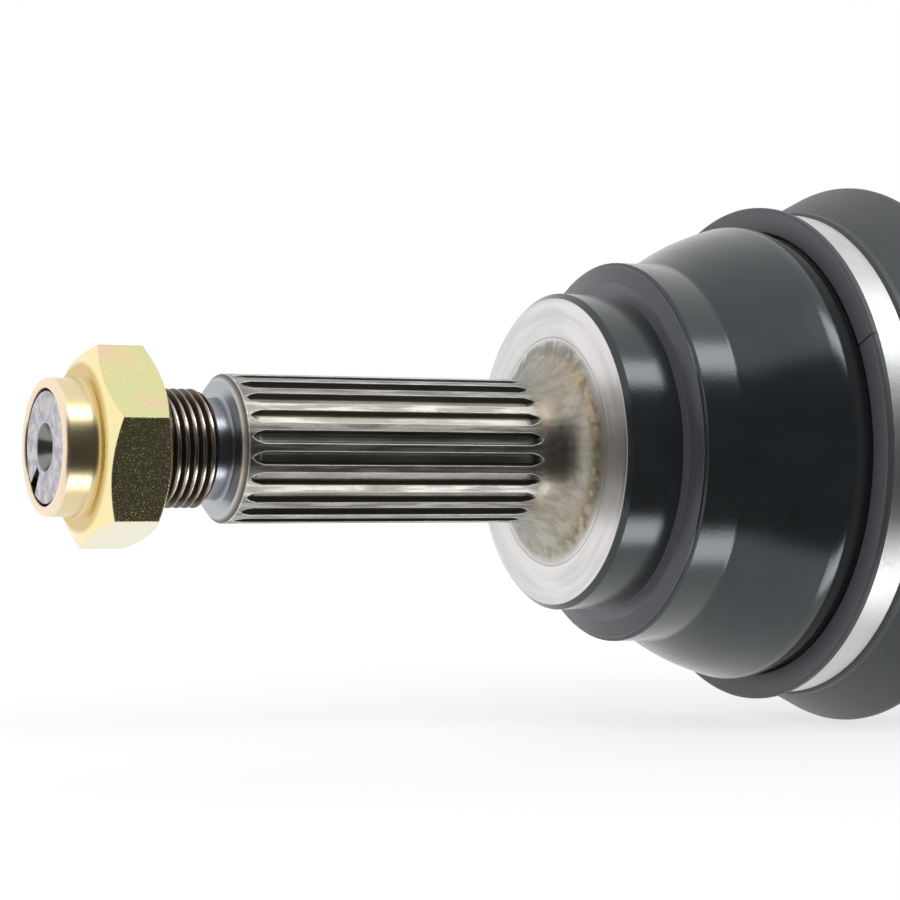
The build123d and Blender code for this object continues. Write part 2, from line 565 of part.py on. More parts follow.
def folds(first_r, start, pitch, count):
    """Crest and root corners of the bellows, from the large end, as (distance, radius)."""
    corners = []
    for k in range(count):
        share = k / (count - 1)
        crest = first_r + (LAST_FOLD_D / 2 - first_r) * share
        depth = FOLD_DEPTH_FIRST + (FOLD_DEPTH_LAST - FOLD_DEPTH_FIRST) * share
        corners.append((start + k * pitch, crest))
        corners.append((start + (k + 0.5) * pitch, crest - depth))
    return corners


def boot(x0, way, bore_r, band_r, start, pitch, count):
    """Bellows boot from its large cuff at x0, running along X the given way, to its small cuff."""
    lip, rib, wall = band_r + BOOT_LIP_HEIGHT, band_r + BOOT_RIB_HEIGHT, BOOT_WALL
    rib_end = LARGE_CUFF_LENGTH + BOOT_RIB_WIDTH
    line = folds(band_r + FIRST_FOLD_RISE, start, pitch, count)
    last = line.pop()
    small0 = start + count * pitch - SMALL_CUFF_LEAD
    small1 = small0 + SMALL_CUFF_LENGTH
    small_in, small_r = SMALL_CUFF_BORE_R, SMALL_BAND_SEAT_R
    seat0 = small0 + (SMALL_CUFF_LENGTH - SMALL_BAND_WIDTH) / 2 - BAND_GAP
    seat1 = small1 - (SMALL_CUFF_LENGTH - SMALL_BAND_WIDTH) / 2 + BAND_GAP
    edge, swell, x_swell = small_r + SMALL_CUFF_LIP, small_r + SMALL_CUFF_SWELL, small0 - SMALL_CUFF_STEP
    outer = [(0, bore_r, 0), (0, lip, 0.4), (BOOT_LIP_WIDTH, lip, 0.4), (BOOT_LIP_WIDTH, band_r, 0),
             (LARGE_CUFF_LENGTH, band_r, 0), (LARGE_CUFF_LENGTH, rib, 0.4), (rib_end, rib, 0.6)]
    outer += [(t, r, FOLD_R) for t, r in line]
    outer += [(x_swell, swell, 1.5), (small0, edge, 0.4), (seat0, edge, 0.2), (seat0, small_r, 0),
              (seat1, small_r, 0), (seat1, edge, 0.2), (small1, edge, 0.4), (small1, small_in, 0)]
    inner = [(small0 + 1, small_in, 1.0), (x_swell, swell - wall, 1.0)]
    inner += [(t, r - wall * 1.25, FOLD_R / 2) for t, r in reversed(line)]
    inner += [(rib_end + 0.5, bore_r + 0.6, 1.0), (rib_end - 1, bore_r, 0)]
    return turned(*[(x0 + way * t, r, f) for t, r, f in outer + inner])


def outboard_boot():
    return boot(BOOT_START_X, 1, OUTBOARD_CUFF_R, OUTBOARD_BAND_SEAT_R, OUTBOARD_FOLD_START,
                OUTBOARD_FOLD_PITCH, OUTBOARD_FOLDS)


def inboard_boot():
    return boot(INBOARD_BOOT_X, -1, INBOARD_CUFF_R, INBOARD_BAND_SEAT_R,
                INBOARD_FOLD_START + LARGE_CUFF_LENGTH, INBOARD_FOLD_PITCH, INBOARD_FOLDS)


def band_clamp(x_mid, seat_r, width, ear_angle):
    """Steel band round a cuff, with the crimped ear that tightens it."""
    r0 = seat_r + BAND_GAP
    r1 = r0 + BAND_THICKNESS
    low, top = r0 - 2 * EAR_WALL, r1 + EAR_HEIGHT
    ear = Pos((low + top) / 2, 0) * RectangleRounded(top - low, EAR_LENGTH, 1.2)
    hollow = Pos((low + top) / 2 - EAR_WALL, 0) * RectangleRounded(top - low, EAR_LENGTH - 2 * EAR_WALL, 0.8)
    section = Circle(r1) + Rot(0, 0, ear_angle) * ear - Rot(0, 0, ear_angle) * hollow - Circle(r0)
    return extrude(across(x_mid - width / 2, section), amount=width)


def large_clamp(x_mid, seat_r, ear_angle):
    return band_clamp(x_mid, seat_r, BAND_WIDTH, ear_angle)


def small_clamp(x_mid):
    return band_clamp(x_mid, SMALL_BAND_SEAT_R + SOFT_GAP / 2, SMALL_BAND_WIDTH, 120)


parts = {
    "outer_race": outer_race(),
    "hub_nut": hub_nut(),
    "ball_cage": ball_cage(),
    "inner_race": inner_race(),
    "race_circlip": circlip(RACE_CLIP_X, RACE_SPLINE_D),
    "axle_bar": axle_bar(),
    "spider": spider(),
    "spider_circlips": Compound(children=[circlip(x, SPIDER_SPLINE_D) for x in SPIDER_CLIPS_X]),
    "tulip_housing": tulip_housing(),
    "gearbox_snap_ring": circlip(gearbox_clip_x(), GEARBOX_TIP_D),
    "boot_adapter_ring": adapter_ring(),
    "outboard_boot": outboard_boot(),
    "inboard_boot": inboard_boot(),
    "outboard_large_clamp": large_clamp(BOOT_START_X + LARGE_BAND_MID, OUTBOARD_BAND_SEAT_R, 35),
    "inboard_large_clamp": large_clamp(INBOARD_BOOT_X - LARGE_BAND_MID, INBOARD_BAND_SEAT_R, 150),
    "outboard_small_clamp": small_clamp(outboard_cuff_x() + SMALL_CUFF_LENGTH / 2),
    "inboard_small_clamp": small_clamp(inboard_cuff_x() - SMALL_CUFF_LENGTH / 2),
}
for k, angle in enumerate(BALL_ANGLES, start=1):
    parts[f"ball_{k}"] = ball(angle)
for k, angle in enumerate(TRIPOD_ANGLES, start=1):
    parts[f"roller_inner_ring_{k}"] = roller_inner_ring(angle)
    parts[f"needle_set_{k}"] = needle_set(angle)
    parts[f"roller_ring_{k}"] = roller_ring(angle)
    parts[f"roller_washers_{k}"] = roller_washers(angle)

os.makedirs("parts", exist_ok=True)
for name, shape in parts.items():
    export_step(shape, f"parts/{name}.step")
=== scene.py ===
import bpy
from math import cos, hypot, pi, radians, sin, tan
from mathutils import Matrix, Vector


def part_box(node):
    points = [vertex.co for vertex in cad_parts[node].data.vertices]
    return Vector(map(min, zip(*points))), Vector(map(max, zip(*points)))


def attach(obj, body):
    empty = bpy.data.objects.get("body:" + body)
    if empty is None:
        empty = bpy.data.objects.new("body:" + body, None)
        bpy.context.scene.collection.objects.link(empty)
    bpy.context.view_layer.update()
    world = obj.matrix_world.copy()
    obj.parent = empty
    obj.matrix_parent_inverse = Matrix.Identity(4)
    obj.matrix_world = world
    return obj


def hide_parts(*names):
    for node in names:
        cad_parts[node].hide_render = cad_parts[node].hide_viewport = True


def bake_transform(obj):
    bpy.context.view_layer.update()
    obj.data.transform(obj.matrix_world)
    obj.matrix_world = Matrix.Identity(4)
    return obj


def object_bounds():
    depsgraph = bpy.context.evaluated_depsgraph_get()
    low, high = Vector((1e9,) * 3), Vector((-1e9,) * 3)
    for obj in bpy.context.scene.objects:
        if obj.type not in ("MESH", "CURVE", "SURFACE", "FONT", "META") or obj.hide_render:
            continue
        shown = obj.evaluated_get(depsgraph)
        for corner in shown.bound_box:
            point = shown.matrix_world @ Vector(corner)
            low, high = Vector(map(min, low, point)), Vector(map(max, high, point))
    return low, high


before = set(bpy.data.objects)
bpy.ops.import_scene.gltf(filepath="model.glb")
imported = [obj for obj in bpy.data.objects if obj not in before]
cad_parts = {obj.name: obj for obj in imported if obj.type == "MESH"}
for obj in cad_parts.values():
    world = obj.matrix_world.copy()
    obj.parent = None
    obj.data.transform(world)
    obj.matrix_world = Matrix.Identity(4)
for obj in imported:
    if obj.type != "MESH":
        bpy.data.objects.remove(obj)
cad_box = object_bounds()
scene = bpy.context.scene
scene.view_settings.view_transform = "Standard"

# Camera, level with the shaft and a little off the wheel end, as in the photograph.
camera = bpy.data.objects.new("camera", bpy.data.cameras.new("camera"))
scene.collection.objects.link(camera)
camera.data.sensor_width = 36.0
camera.data.lens = 113.76
camera.data.clip_start = 0.02
yaw, pitch, roll = radians(26.72), radians(-0.01), radians(0.49)
ahead = Vector((sin(yaw) * cos(pitch), cos(yaw) * cos(pitch), sin(pitch)))
level_right = Vector((cos(yaw), -sin(yaw), 0))
level_up = level_right.cross(ahead)
right = cos(roll) * level_right + sin(roll) * level_up
up = cos(roll) * level_up - sin(roll) * level_right
CAMERA_PLACE = (-0.2437, -0.4445, 0.0002)
camera.matrix_world = Matrix.Translation(CAMERA_PLACE) @ Matrix((
    (right.x, up.x, -ahead.x, 0), (right.y, up.y, -ahead.y, 0), (right.z, up.z, -ahead.z, 0),
    (0, 0, 0, 1)))
scene.camera = camera


# Helpers for shader nodes and plain meshes, used by every section below. Wherever they take a
# value, it is a plain number or the socket of another node.
def put(tree, kind, inputs=None, **settings):
    """Adds a shader node, sets its properties, and sets or links its inputs."""
    made = tree.nodes.new(kind)
    for name, setting in settings.items():
        setattr(made, name, setting)
    for name, value in (inputs or {}).items():
        if isinstance(value, bpy.types.NodeSocket):
            tree.links.new(value, made.inputs[name])
        else:
            made.inputs[name].default_value = value
    return made


def calc(tree, operation, *values):
    """Result of a math node."""
    return put(tree, "ShaderNodeMath", dict(enumerate(values)), operation=operation).outputs[0]


def product(tree, first, *others):
    """Product of any number of values."""
    for other in others:
        first = calc(tree, "MULTIPLY", first, other)
    return first


def between(tree, value, start, end, low=0.0, high=1.0):
    """Smooth step of a value: low up to start, high from end."""
    return put(tree, "ShaderNodeMapRange", {"Value": value, "From Min": start, "From Max": end,
                                            "To Min": low, "To Max": high},
               interpolation_type="SMOOTHSTEP").outputs[0]


def band(tree, value, start, full, fade, end):
    """Mask that rises from start to full and falls from fade to end."""
    return product(tree, between(tree, value, start, full),
                   between(tree, value, fade, end, 1.0, 0.0))


def mesh_piece(name, points, faces, sharp=35):
    """Mesh object, smooth except where its faces meet at more than the sharp angle in degrees."""
    mesh = bpy.data.meshes.new(name)
    mesh.from_pydata(points, [], faces)
    mesh.validate()
    mesh.shade_smooth()
    mesh.set_sharp_from_angle(angle=radians(sharp))
    made = bpy.data.objects.new(name, mesh)
    scene.collection.objects.link(made)
    return made


# Studio: a pale floor and white surroundings, a soft lamp above each side, and for reflections
# alone two long bright strips with a dark gap between them on the camera's side, which give turned
# metal its dark middle band.
SKY_LIGHT, SKY_SEEN = 0.6, 1.0
world = bpy.data.worlds.new("studio")
scene.world = world
world.use_nodes = True
world.node_tree.nodes.clear()
path = put(world.node_tree, "ShaderNodeLightPath")
seen = calc(world.node_tree, "MAXIMUM", path.outputs["Is Camera Ray"],
            calc(world.node_tree, "MAXIMUM", path.outputs["Is Glossy Ray"],
                 path.outputs["Is Transmission Ray"]))
dim = put(world.node_tree, "ShaderNodeBackground", {"Color": (1, 1, 1, 1), "Strength": SKY_LIGHT})
white = put(world.node_tree, "ShaderNodeBackground", {"Color": (1, 1, 1, 1), "Strength": SKY_SEEN})
sky = put(world.node_tree, "ShaderNodeMixShader", {0: seen, 1: dim.outputs[0], 2: white.outputs[0]})
put(world.node_tree, "ShaderNodeOutputWorld", {0: sky.outputs[0]})

# the camera sees the paper fade into pure white with the distance from the shaft
FLOOR_HALF, SHAFT_MIDDLE_X, LENGTH_SHARE = 6.0, 0.2, 0.55
GLOW_START, GLOW_END, LEAST_GLOW, GLOW_STRENGTH = 0.10, 0.42, 0.70, 1.05
floor_corners = [(x * FLOOR_HALF, y * FLOOR_HALF, cad_box[0].z)
                 for x, y in ((-1, -1), (1, -1), (1, 1), (-1, 1))]
floor = mesh_piece("floor", floor_corners, [(0, 1, 2, 3)])
floor_finish = bpy.data.materials.new("floor_paper")
floor_finish.use_nodes = True
tree = floor_finish.node_tree
tree.nodes.clear()
where = put(tree, "ShaderNodeNewGeometry").outputs["Position"]
spot = put(tree, "ShaderNodeSeparateXYZ", {0: where}).outputs
off_middle = calc(tree, "ABSOLUTE", calc(tree, "SUBTRACT", spot[0], SHAFT_MIDDLE_X))
sideways = product(tree, off_middle, LENGTH_SHARE)
away = calc(tree, "MAXIMUM", sideways, calc(tree, "ABSOLUTE", spot[1]))
paper = put(tree, "ShaderNodeBsdfDiffuse", {"Color": (0.95, 0.95, 0.95, 1)})
glow = put(tree, "ShaderNodeEmission", {"Color": (1, 1, 1, 1), "Strength": GLOW_STRENGTH})
fade = product(tree, between(tree, away, GLOW_START, GLOW_END, LEAST_GLOW, 1.0),
               put(tree, "ShaderNodeLightPath").outputs["Is Camera Ray"])
surface = put(tree, "ShaderNodeMixShader", {0: fade, 1: paper.outputs[0], 2: glow.outputs[0]})
put(tree, "ShaderNodeOutputMaterial", {0: surface.outputs[0]})
floor.data.materials.append(floor_finish)
floor.visible_glossy = False


def lamp(name, place, target, width, height, power):
    """Soft rectangular lamp that faces its target. Reflections don't show it."""
    light = bpy.data.lights.new(name, "AREA")
    light.shape = "RECTANGLE"
    light.size, light.size_y, light.energy = width, height, power
    made = bpy.data.objects.new(name, light)
    scene.collection.objects.link(made)
    made.location = place
    made.rotation_mode = "QUATERNION"
    made.rotation_quaternion = (Vector(target) - Vector(place)).to_track_quat("-Z", "Y")
    made.visible_glossy = False


LAMP_WIDTH, LAMP_HEIGHT = 1.4, 0.7
lamp("front_lamp", (-0.1, -0.9, 0.9), (0.1, 0, 0), LAMP_WIDTH, LAMP_HEIGHT, power=6.5)
lamp("back_lamp", (0.4, 1.0, 0.8), (0.2, 0, 0), LAMP_WIDTH, LAMP_HEIGHT, power=5.0)


def reflected_card(name, low_angle, high_angle, distance, strength, x0=-3.0, x1=3.5):
    """Card along the shaft between two heights in degrees, which only reflections see."""
    edges = [(-distance * cos(radians(a)), distance * sin(radians(a)))
             for a in (low_angle, high_angle)]
    points = [(x, y, z) for y, z in edges for x in (x0, x1)]
    made = mesh_piece(name, points, [(0, 1, 3, 2)])
    finish = bpy.data.materials.new(name)
    finish.use_nodes = True
    finish.node_tree.nodes.clear()
    shine = put(finish.node_tree, "ShaderNodeEmission",
                {"Color": (1, 1, 1, 1), "Strength": strength})
    put(finish.node_tree, "ShaderNodeOutputMaterial", {0: shine.outputs[0]})
    made.data.materials.append(finish)
    for kind in ("camera", "diffuse", "shadow", "transmission"):
        setattr(made, f"visible_{kind}", False)


STRIP_LOW, STRIP_HIGH, STRIP_DISTANCE, STRIP_SPLIT_X = 50, 68, 1.6, 0.3
GAP_EDGE, GAP_DISTANCE, GAP_STRENGTH = 46, 1.7, 0.05
for side in (-1, 1):
    strip = (STRIP_LOW * side, STRIP_HIGH * side, STRIP_DISTANCE)
    reflected_card(f"strip_{side}", *strip, strength=5.4, x0=STRIP_SPLIT_X)
    reflected_card(f"strip_front_{side}", *strip, strength=1.05, x1=STRIP_SPLIT_X)
reflected_card("dark_gap_upper", 0, GAP_EDGE, GAP_DISTANCE, GAP_STRENGTH)
reflected_card("dark_gap_lower", -GAP_EDGE, 0, GAP_DISTANCE, GAP_STRENGTH)


# Helpers for finishes. The node groups give a place on the shaft, heights and masks, and each
# material below makes its own colours from them.
def new_material(name):
    """New material, its node tree, its Principled shader, and the place on the shaft as sockets."""
    material = bpy.data.materials.new(name)
    material.use_nodes = True
    tree = material.node_tree
    return material, tree, tree.nodes["Principled BSDF"], use(tree, shaft_place)


def mixed(tree, mask, low, high):
    """Colour between two colours by a mask."""
    made = put(tree, "ShaderNodeMix", data_type="RGBA")
    for socket, value in ((made.inputs[0], mask), (made.inputs[6], low), (made.inputs[7], high)):
        if isinstance(value, bpy.types.NodeSocket):
            tree.links.new(value, socket)
        else:
            socket.default_value = (*value, 1) if isinstance(value, tuple) else value
    return made.outputs[2]


def mixed_value(tree, mask, low, high):
    """Value between two values by a mask."""
    return put(tree, "ShaderNodeMix", {0: mask, 2: low, 3: high}, data_type="FLOAT").outputs[0]


def inverse(tree, mask):
    """One minus a mask."""
    return calc(tree, "SUBTRACT", 1.0, mask)


def surface_facing(tree):
    """Parts of the surface's normal along the object's X, Y and Z."""
    normal = put(tree, "ShaderNodeTexCoord").outputs["Normal"]
    return put(tree, "ShaderNodeSeparateXYZ", {0: normal}).outputs


def new_group(name, inputs, outputs):
    """Node group from (name, default) inputs and output names: its tree and both ends' sockets."""
    group = bpy.data.node_groups.new(name, "ShaderNodeTree")
    for socket, default in inputs:
        kind = "NodeSocketVector" if isinstance(default, tuple) else "NodeSocketFloat"
        group.interface.new_socket(socket, in_out="INPUT", socket_type=kind).default_value = default
    for socket in outputs:
        kind = "NodeSocketVector" if socket == "Spot" else "NodeSocketFloat"
        group.interface.new_socket(socket, in_out="OUTPUT", socket_type=kind)
    return group, put(group, "NodeGroupInput").outputs, put(group, "NodeGroupOutput").inputs


def use(tree, group, inputs=None):
    """Outputs of a node group placed in a material."""
    made = tree.nodes.new("ShaderNodeGroup")
    made.node_tree = group
    for name, value in (inputs or {}).items():
        if isinstance(value, bpy.types.NodeSocket):
            tree.links.new(value, made.inputs[name])
        else:
            made.inputs[name].default_value = value
    return made.outputs


# Place on the shaft: distance along it, radius and the point in millimetres, angle in degrees.
shaft_place, _, ends = new_group("shaft_place", [], ["Along", "Radius", "Angle", "Spot"])
point = put(shaft_place, "ShaderNodeTexCoord").outputs["Object"]
in_mm = put(shaft_place, "ShaderNodeVectorMath", {0: point, "Scale": 1000.0},
            operation="SCALE").outputs[0]
xyz = put(shaft_place, "ShaderNodeSeparateXYZ", {0: in_mm}).outputs
across = put(shaft_place, "ShaderNodeVectorMath", {0: in_mm, 1: (0.0, 1.0, 1.0)},
             operation="MULTIPLY").outputs[0]
off_axis = put(shaft_place, "ShaderNodeVectorMath", {0: across},
               operation="LENGTH").outputs["Value"]
shaft_place.links.new(xyz[0], ends["Along"])
shaft_place.links.new(off_axis, ends["Radius"])
shaft_place.links.new(product(shaft_place, calc(shaft_place, "ARCTAN2", xyz[2], xyz[1]), 180 / pi),
                      ends["Angle"])
shaft_place.links.new(in_mm, ends["Spot"])

# Turning marks: fine rings left by the lathe, each nearly even all the way round.
turning_marks, given, ends = new_group(
    "turning_marks", [("Along", 0.0), ("Radius", 0.0), ("Spot", (0.0, 0.0, 0.0)), ("Pitch", 0.3),
                      ("Waver", 0.05)], ["Height", "Streak"])
line = calc(turning_marks, "DIVIDE", calc(turning_marks, "ADD", given["Along"], given["Radius"]),
            given["Pitch"])
round_spot = put(turning_marks, "ShaderNodeVectorMath", {0: given["Spot"], "Scale": given["Waver"]},
                 operation="SCALE").outputs[0]
flat_spot = put(turning_marks, "ShaderNodeVectorMath", {0: round_spot, 1: (0.0, 1.0, 1.0)},
                operation="MULTIPLY")
fine = put(turning_marks, "ShaderNodeTexNoise", {"Vector": flat_spot.outputs[0], "W": line,
                                                 "Scale": 1.0, "Detail": 3.0, "Roughness": 0.7},
           noise_dimensions="4D")
wide = put(turning_marks, "ShaderNodeTexNoise", {"Vector": flat_spot.outputs[0],
                                                 "W": product(turning_marks, line, 0.12),
                                                 "Scale": 1.0, "Detail": 2.0},
           noise_dimensions="4D")
turning_marks.links.new(fine.outputs[0], ends["Height"])
turning_marks.links.new(wide.outputs[0], ends["Streak"])

# Grain: even speckle of a given size, as height and as a mask of its brighter spots.
grain, given, ends = new_group("grain", [("Spot", (0.0, 0.0, 0.0)), ("Size", 0.3), ("Cover", 0.5)],
                               ["Height", "Flecks"])
per_mm = calc(grain, "DIVIDE", 1.0, given["Size"])
speckle = put(grain, "ShaderNodeTexNoise", {"Vector": given["Spot"], "Scale": per_mm, "Detail": 4.0,
                                            "Roughness": 0.6}).outputs[0]
grain.links.new(speckle, ends["Height"])
edge = inverse(grain, given["Cover"])
SOFT = 0.06
flecks = between(grain, speckle, calc(grain, "SUBTRACT", edge, SOFT),
                 calc(grain, "ADD", edge, SOFT))
grain.links.new(flecks, ends["Flecks"])


def bumped(tree, *layers, edge=0.0):
    """Normal from (height, depth) layers over edges shaded round by a radius, both in metres."""
    normal = put(tree, "ShaderNodeBevel", {"Radius": edge}, samples=4).outputs[0] if edge else None
    for height, depth in layers:
        bump = put(tree, "ShaderNodeBump", {"Height": height, "Distance": depth, "Strength": 1.0})
        if normal is not None:
            tree.links.new(normal, bump.inputs["Normal"])
        normal = bump.outputs[0]
    return normal


def smear(tree, spot, stretch, scale, detail=4.0):
    """Noise stretched along the axes by the given factors."""
    drawn = put(tree, "ShaderNodeVectorMath", {0: spot, 1: stretch},
                operation="MULTIPLY").outputs[0]
    return put(tree, "ShaderNodeTexNoise", {"Vector": drawn, "Scale": scale,
                                            "Detail": detail}).outputs[0]


def clouds(tree, spot, scale, detail):
    """Noise that is alike along every axis."""
    return smear(tree, spot, (1.0, 1.0, 1.0), scale, detail)


def lathe_marks(tree, place, pitch, waver):
    """Turning marks at a place on the shaft."""
    return use(tree, turning_marks, {"Along": place["Along"], "Radius": place["Radius"],
                                     "Spot": place["Spot"], "Pitch": pitch, "Waver": waver})


def radial_streaks(tree, place, scale, count):
    """Noise in narrow streaks that run outwards from the shaft, about count to a quarter turn."""
    turn = calc(tree, "DIVIDE", place["Angle"], 90.0)
    spot = put(tree, "ShaderNodeCombineXYZ", {0: product(tree, turn, count),
                                              1: product(tree, place["Radius"], scale),
                                              2: product(tree, place["Along"], scale)}).outputs[0]
    return put(tree, "ShaderNodeTexNoise", {"Vector": spot, "Scale": 1.0, "Detail": 4.0,
                                            "Roughness": 0.6}).outputs[0]


def finish_shader(tree, shader, links):
    """Links sockets to the shader's inputs by name."""
    for name, socket in links.items():
        tree.links.new(socket, shader.inputs[name])


# index of refraction of the black paints and the rubber
GLOSS_IOR = 1.62


def coat(node, material):
    """Gives a CAD node its material."""
    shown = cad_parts[node]
    shown.data.materials.clear()
    shown.data.materials.append(material)


# Outer race: one steel forging. The threaded end, splines and hub face are machined bright, and the
# seat and bell behind the face are sprayed black before the joint is put together. Handling has
# stained the fillet.

# its seat is longer here than in the CAD model and its shoulder slopes, as in the photograph
SEAT_R, INSIDE_SEAT_R, CLOSE = 28.15, 27, 0.1
SEAT_END, RIM_START, RIM_END = 9.0, 9.717, 11.6
NEW_SEAT_END, STEP_R, NEW_RIM_START, NEW_RIM_END = 10.6, 30.4, 11.5, 11.9
race_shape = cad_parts["outer_race"].data.copy()
for vertex in race_shape.vertices:
    x, r = vertex.co.x * 1000, hypot(vertex.co.y, vertex.co.z) * 1000
    if r > INSIDE_SEAT_R and SEAT_END - CLOSE < x < RIM_END + CLOSE:
        on_step = x < SEAT_END + CLOSE
        share = (x - RIM_START) / (RIM_END - RIM_START)
        new_x = NEW_SEAT_END if on_step else NEW_RIM_START + share * (NEW_RIM_END - NEW_RIM_START)
        scale = min(1.0, STEP_R / r) if on_step else 1.0
        vertex.co = (new_x / 1000, vertex.co.y * scale, vertex.co.z * scale)
race = bpy.data.objects.new("outer_race_forging", race_shape)
scene.collection.objects.link(race)
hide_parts("outer_race")
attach(race, "wheel_stub")

STUB_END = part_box("outer_race")[0].x * 1000
THREAD_LENGTH, NECK_LENGTH, DRILL_DEPTH, DRILL_R, RING_CUT_R = 27.1, 3.9, 14.0, 4.0, 20.35
THREAD_REAR = STUB_END + THREAD_LENGTH
SPLINE_FRONT, SPLINE_REAR, SPLINE_CREST = THREAD_REAR + NECK_LENGTH, -8.0, 12.65
stub_finish, tree, shader, place = new_material("bare_steel_and_black_paint")
along, radius, spot = place["Along"], place["Radius"], place["Spot"]
marks = lathe_marks(tree, place, pitch=0.22, waver=0.05)
fine_grain = use(tree, grain, {"Spot": spot, "Size": 0.35, "Cover": 0.42})
steel = mixed(tree, between(tree, marks["Streak"], 0.34, 0.64), (0.66, 0.63, 0.625),
              (0.80, 0.765, 0.755))

# splines: mottled olive crests, painted shade in the grooves, a bluish relief neck before them
crest = between(tree, radius, SPLINE_CREST - 0.25, SPLINE_CREST - 0.08)
scuffs = smear(tree, spot, (0.12, 1.3, 1.3), 1.0)
crest_steel = mixed(tree, between(tree, scuffs, 0.42, 0.62), (0.25, 0.24, 0.215),
                    (0.48, 0.47, 0.43))
crest_steel = mixed(tree, product(tree, fine_grain["Flecks"], 0.35), crest_steel,
                    (0.16, 0.14, 0.12))
groove_steel = mixed(tree, between(tree, smear(tree, spot, (0.10, 0.9, 0.9), 0.7), 0.4, 0.7),
                     (0.30, 0.28, 0.24), (0.52, 0.50, 0.45))
# the walls of the grooves are painted dark, as shade
groove_wall_shade = between(tree, radius, SPLINE_CREST - 1.12, SPLINE_CREST - 0.98)
groove_steel = mixed(tree, groove_wall_shade, groove_steel, (0.13, 0.12, 0.105))
on_spline = band(tree, along, SPLINE_FRONT - 1.2, SPLINE_FRONT - 0.2, SPLINE_REAR - 0.5,
                 SPLINE_REAR + 1.5)
spline_steel = mixed(tree, crest, groove_steel, crest_steel)
# corners get a painted highlight where the normal of a softened corner departs from the true one
softened = put(tree, "ShaderNodeBevel", {"Radius": 0.00024}, samples=6).outputs[0]
true_normal = put(tree, "ShaderNodeNewGeometry").outputs["True Normal"]
likeness = put(tree, "ShaderNodeVectorMath", {0: softened, 1: true_normal},
               operation="DOT_PRODUCT").outputs["Value"]
edge_highlight = product(tree, between(tree, likeness, 0.95, 0.995, 1.0, 0.0),
                 between(tree, radius, SPLINE_CREST - 0.5, SPLINE_CREST - 0.3))
spline_steel = mixed(tree, edge_highlight, spline_steel, (0.95, 0.94, 0.90))
steel = mixed(tree, on_spline, steel, spline_steel)
on_neck = band(tree, along, THREAD_REAR - 0.4, THREAD_REAR, SPLINE_FRONT - 1.3, SPLINE_FRONT - 0.7)
steel = mixed(tree, on_neck, steel, (0.27, 0.28, 0.31))

# fillet: a dull olive skin with streaks that run outwards, a yellow stain at its foot, and pits
# where the face cut starts
STAIN_RING, PIT_RING = (16.0, 17.2, 17.8, 18.8), (16.8, 17.6, 19.2, 20.2)
FACE_DEPTH, STAIN_ANGLE = (-2.2, -1.0, 0.1, 0.3), 165.0
streaks = radial_streaks(tree, place, 0.12, 26.0)
cloud = clouds(tree, spot, 0.14, 6.0)
in_fillet = product(tree, between(tree, along, SPLINE_REAR - 1.0, SPLINE_REAR + 0.6),
                    between(tree, radius, 18.5, 20.6, 1.0, 0.0))
mottle = smear(tree, spot, (0.7, 1.0, 1.0), 0.55, 7.0)
skin = mixed(tree, between(tree, mottle, 0.35, 0.66), (0.29, 0.262, 0.20), (0.42, 0.385, 0.315))
skin = mixed(tree, product(tree, between(tree, streaks, 0.45, 0.65), 0.25), skin,
             (0.50, 0.47, 0.40))
skin = mixed(tree, product(tree, between(tree, cloud, 0.46, 0.6), 0.5), skin, (0.33, 0.25, 0.19))
steel = mixed(tree, product(tree, in_fillet, 0.92), steel, skin)
wander = calc(tree, "ADD", radius, product(tree, calc(tree, "SUBTRACT", mottle, 0.5), 3.0))
foot = band(tree, wander, *STAIN_RING)
near_turn = calc(tree, "SUBTRACT", calc(tree, "ABSOLUTE", place["Angle"]), STAIN_ANGLE)
near_side = between(tree, calc(tree, "ABSOLUTE", near_turn), 35.0, 75.0, 1.0, 0.25)
stain = product(tree, foot, between(tree, along, -6.0, -3.0), near_side, 0.7)
stain_colour = mixed(tree, between(tree, mottle, 0.42, 0.60), (0.22, 0.165, 0.11),
                     (0.46, 0.38, 0.23))
steel = mixed(tree, stain, steel, stain_colour)
on_face = band(tree, along, *FACE_DEPTH)
pit_ring = product(tree, band(tree, radius, *PIT_RING), on_face)
upper_side = product(tree, between(tree, place["Angle"], 5.0, 30.0),
                     between(tree, place["Angle"], 110.0, 150.0, 1.0, 0.12))
crackle = put(tree, "ShaderNodeTexVoronoi", {"Vector": spot, "Scale": 2.4, "Detail": 1.0},
              feature="DISTANCE_TO_EDGE")
crazed = product(tree, between(tree, crackle.outputs["Distance"], 0.06, 0.22, 1.0, 0.0),
                 between(tree, clouds(tree, spot, 0.45, 3.0), 0.40, 0.50))
pits = product(tree, pit_ring, crazed, upper_side)
steel = mixed(tree, product(tree, pits, 0.7), steel, (0.24, 0.22, 0.225))
ring_cut = product(tree, band(tree, radius, RING_CUT_R - 0.2, RING_CUT_R - 0.05, RING_CUT_R + 0.05,
                              RING_CUT_R + 0.2), on_face)
steel = mixed(tree, product(tree, ring_cut, 0.6), steel, (0.25, 0.235, 0.23))

# end face, and painted shade inside its centre drilling
at_end = between(tree, along, STUB_END + 0.05, STUB_END + 0.2, 1.0, 0.0)
end_steel = mixed(tree, fine_grain["Flecks"], (0.44, 0.42, 0.49), (0.62, 0.60, 0.66))
steel = mixed(tree, at_end, steel, end_steel)
drill_end = STUB_END + DRILL_DEPTH
drilling_shade = product(tree, between(tree, along, drill_end - 1.0, drill_end, 1.0, 0.0),
                    between(tree, radius, DRILL_R - 0.1, DRILL_R + 0.1, 1.0, 0.0))
steel = mixed(tree, drilling_shade, steel, (0.26, 0.255, 0.23))
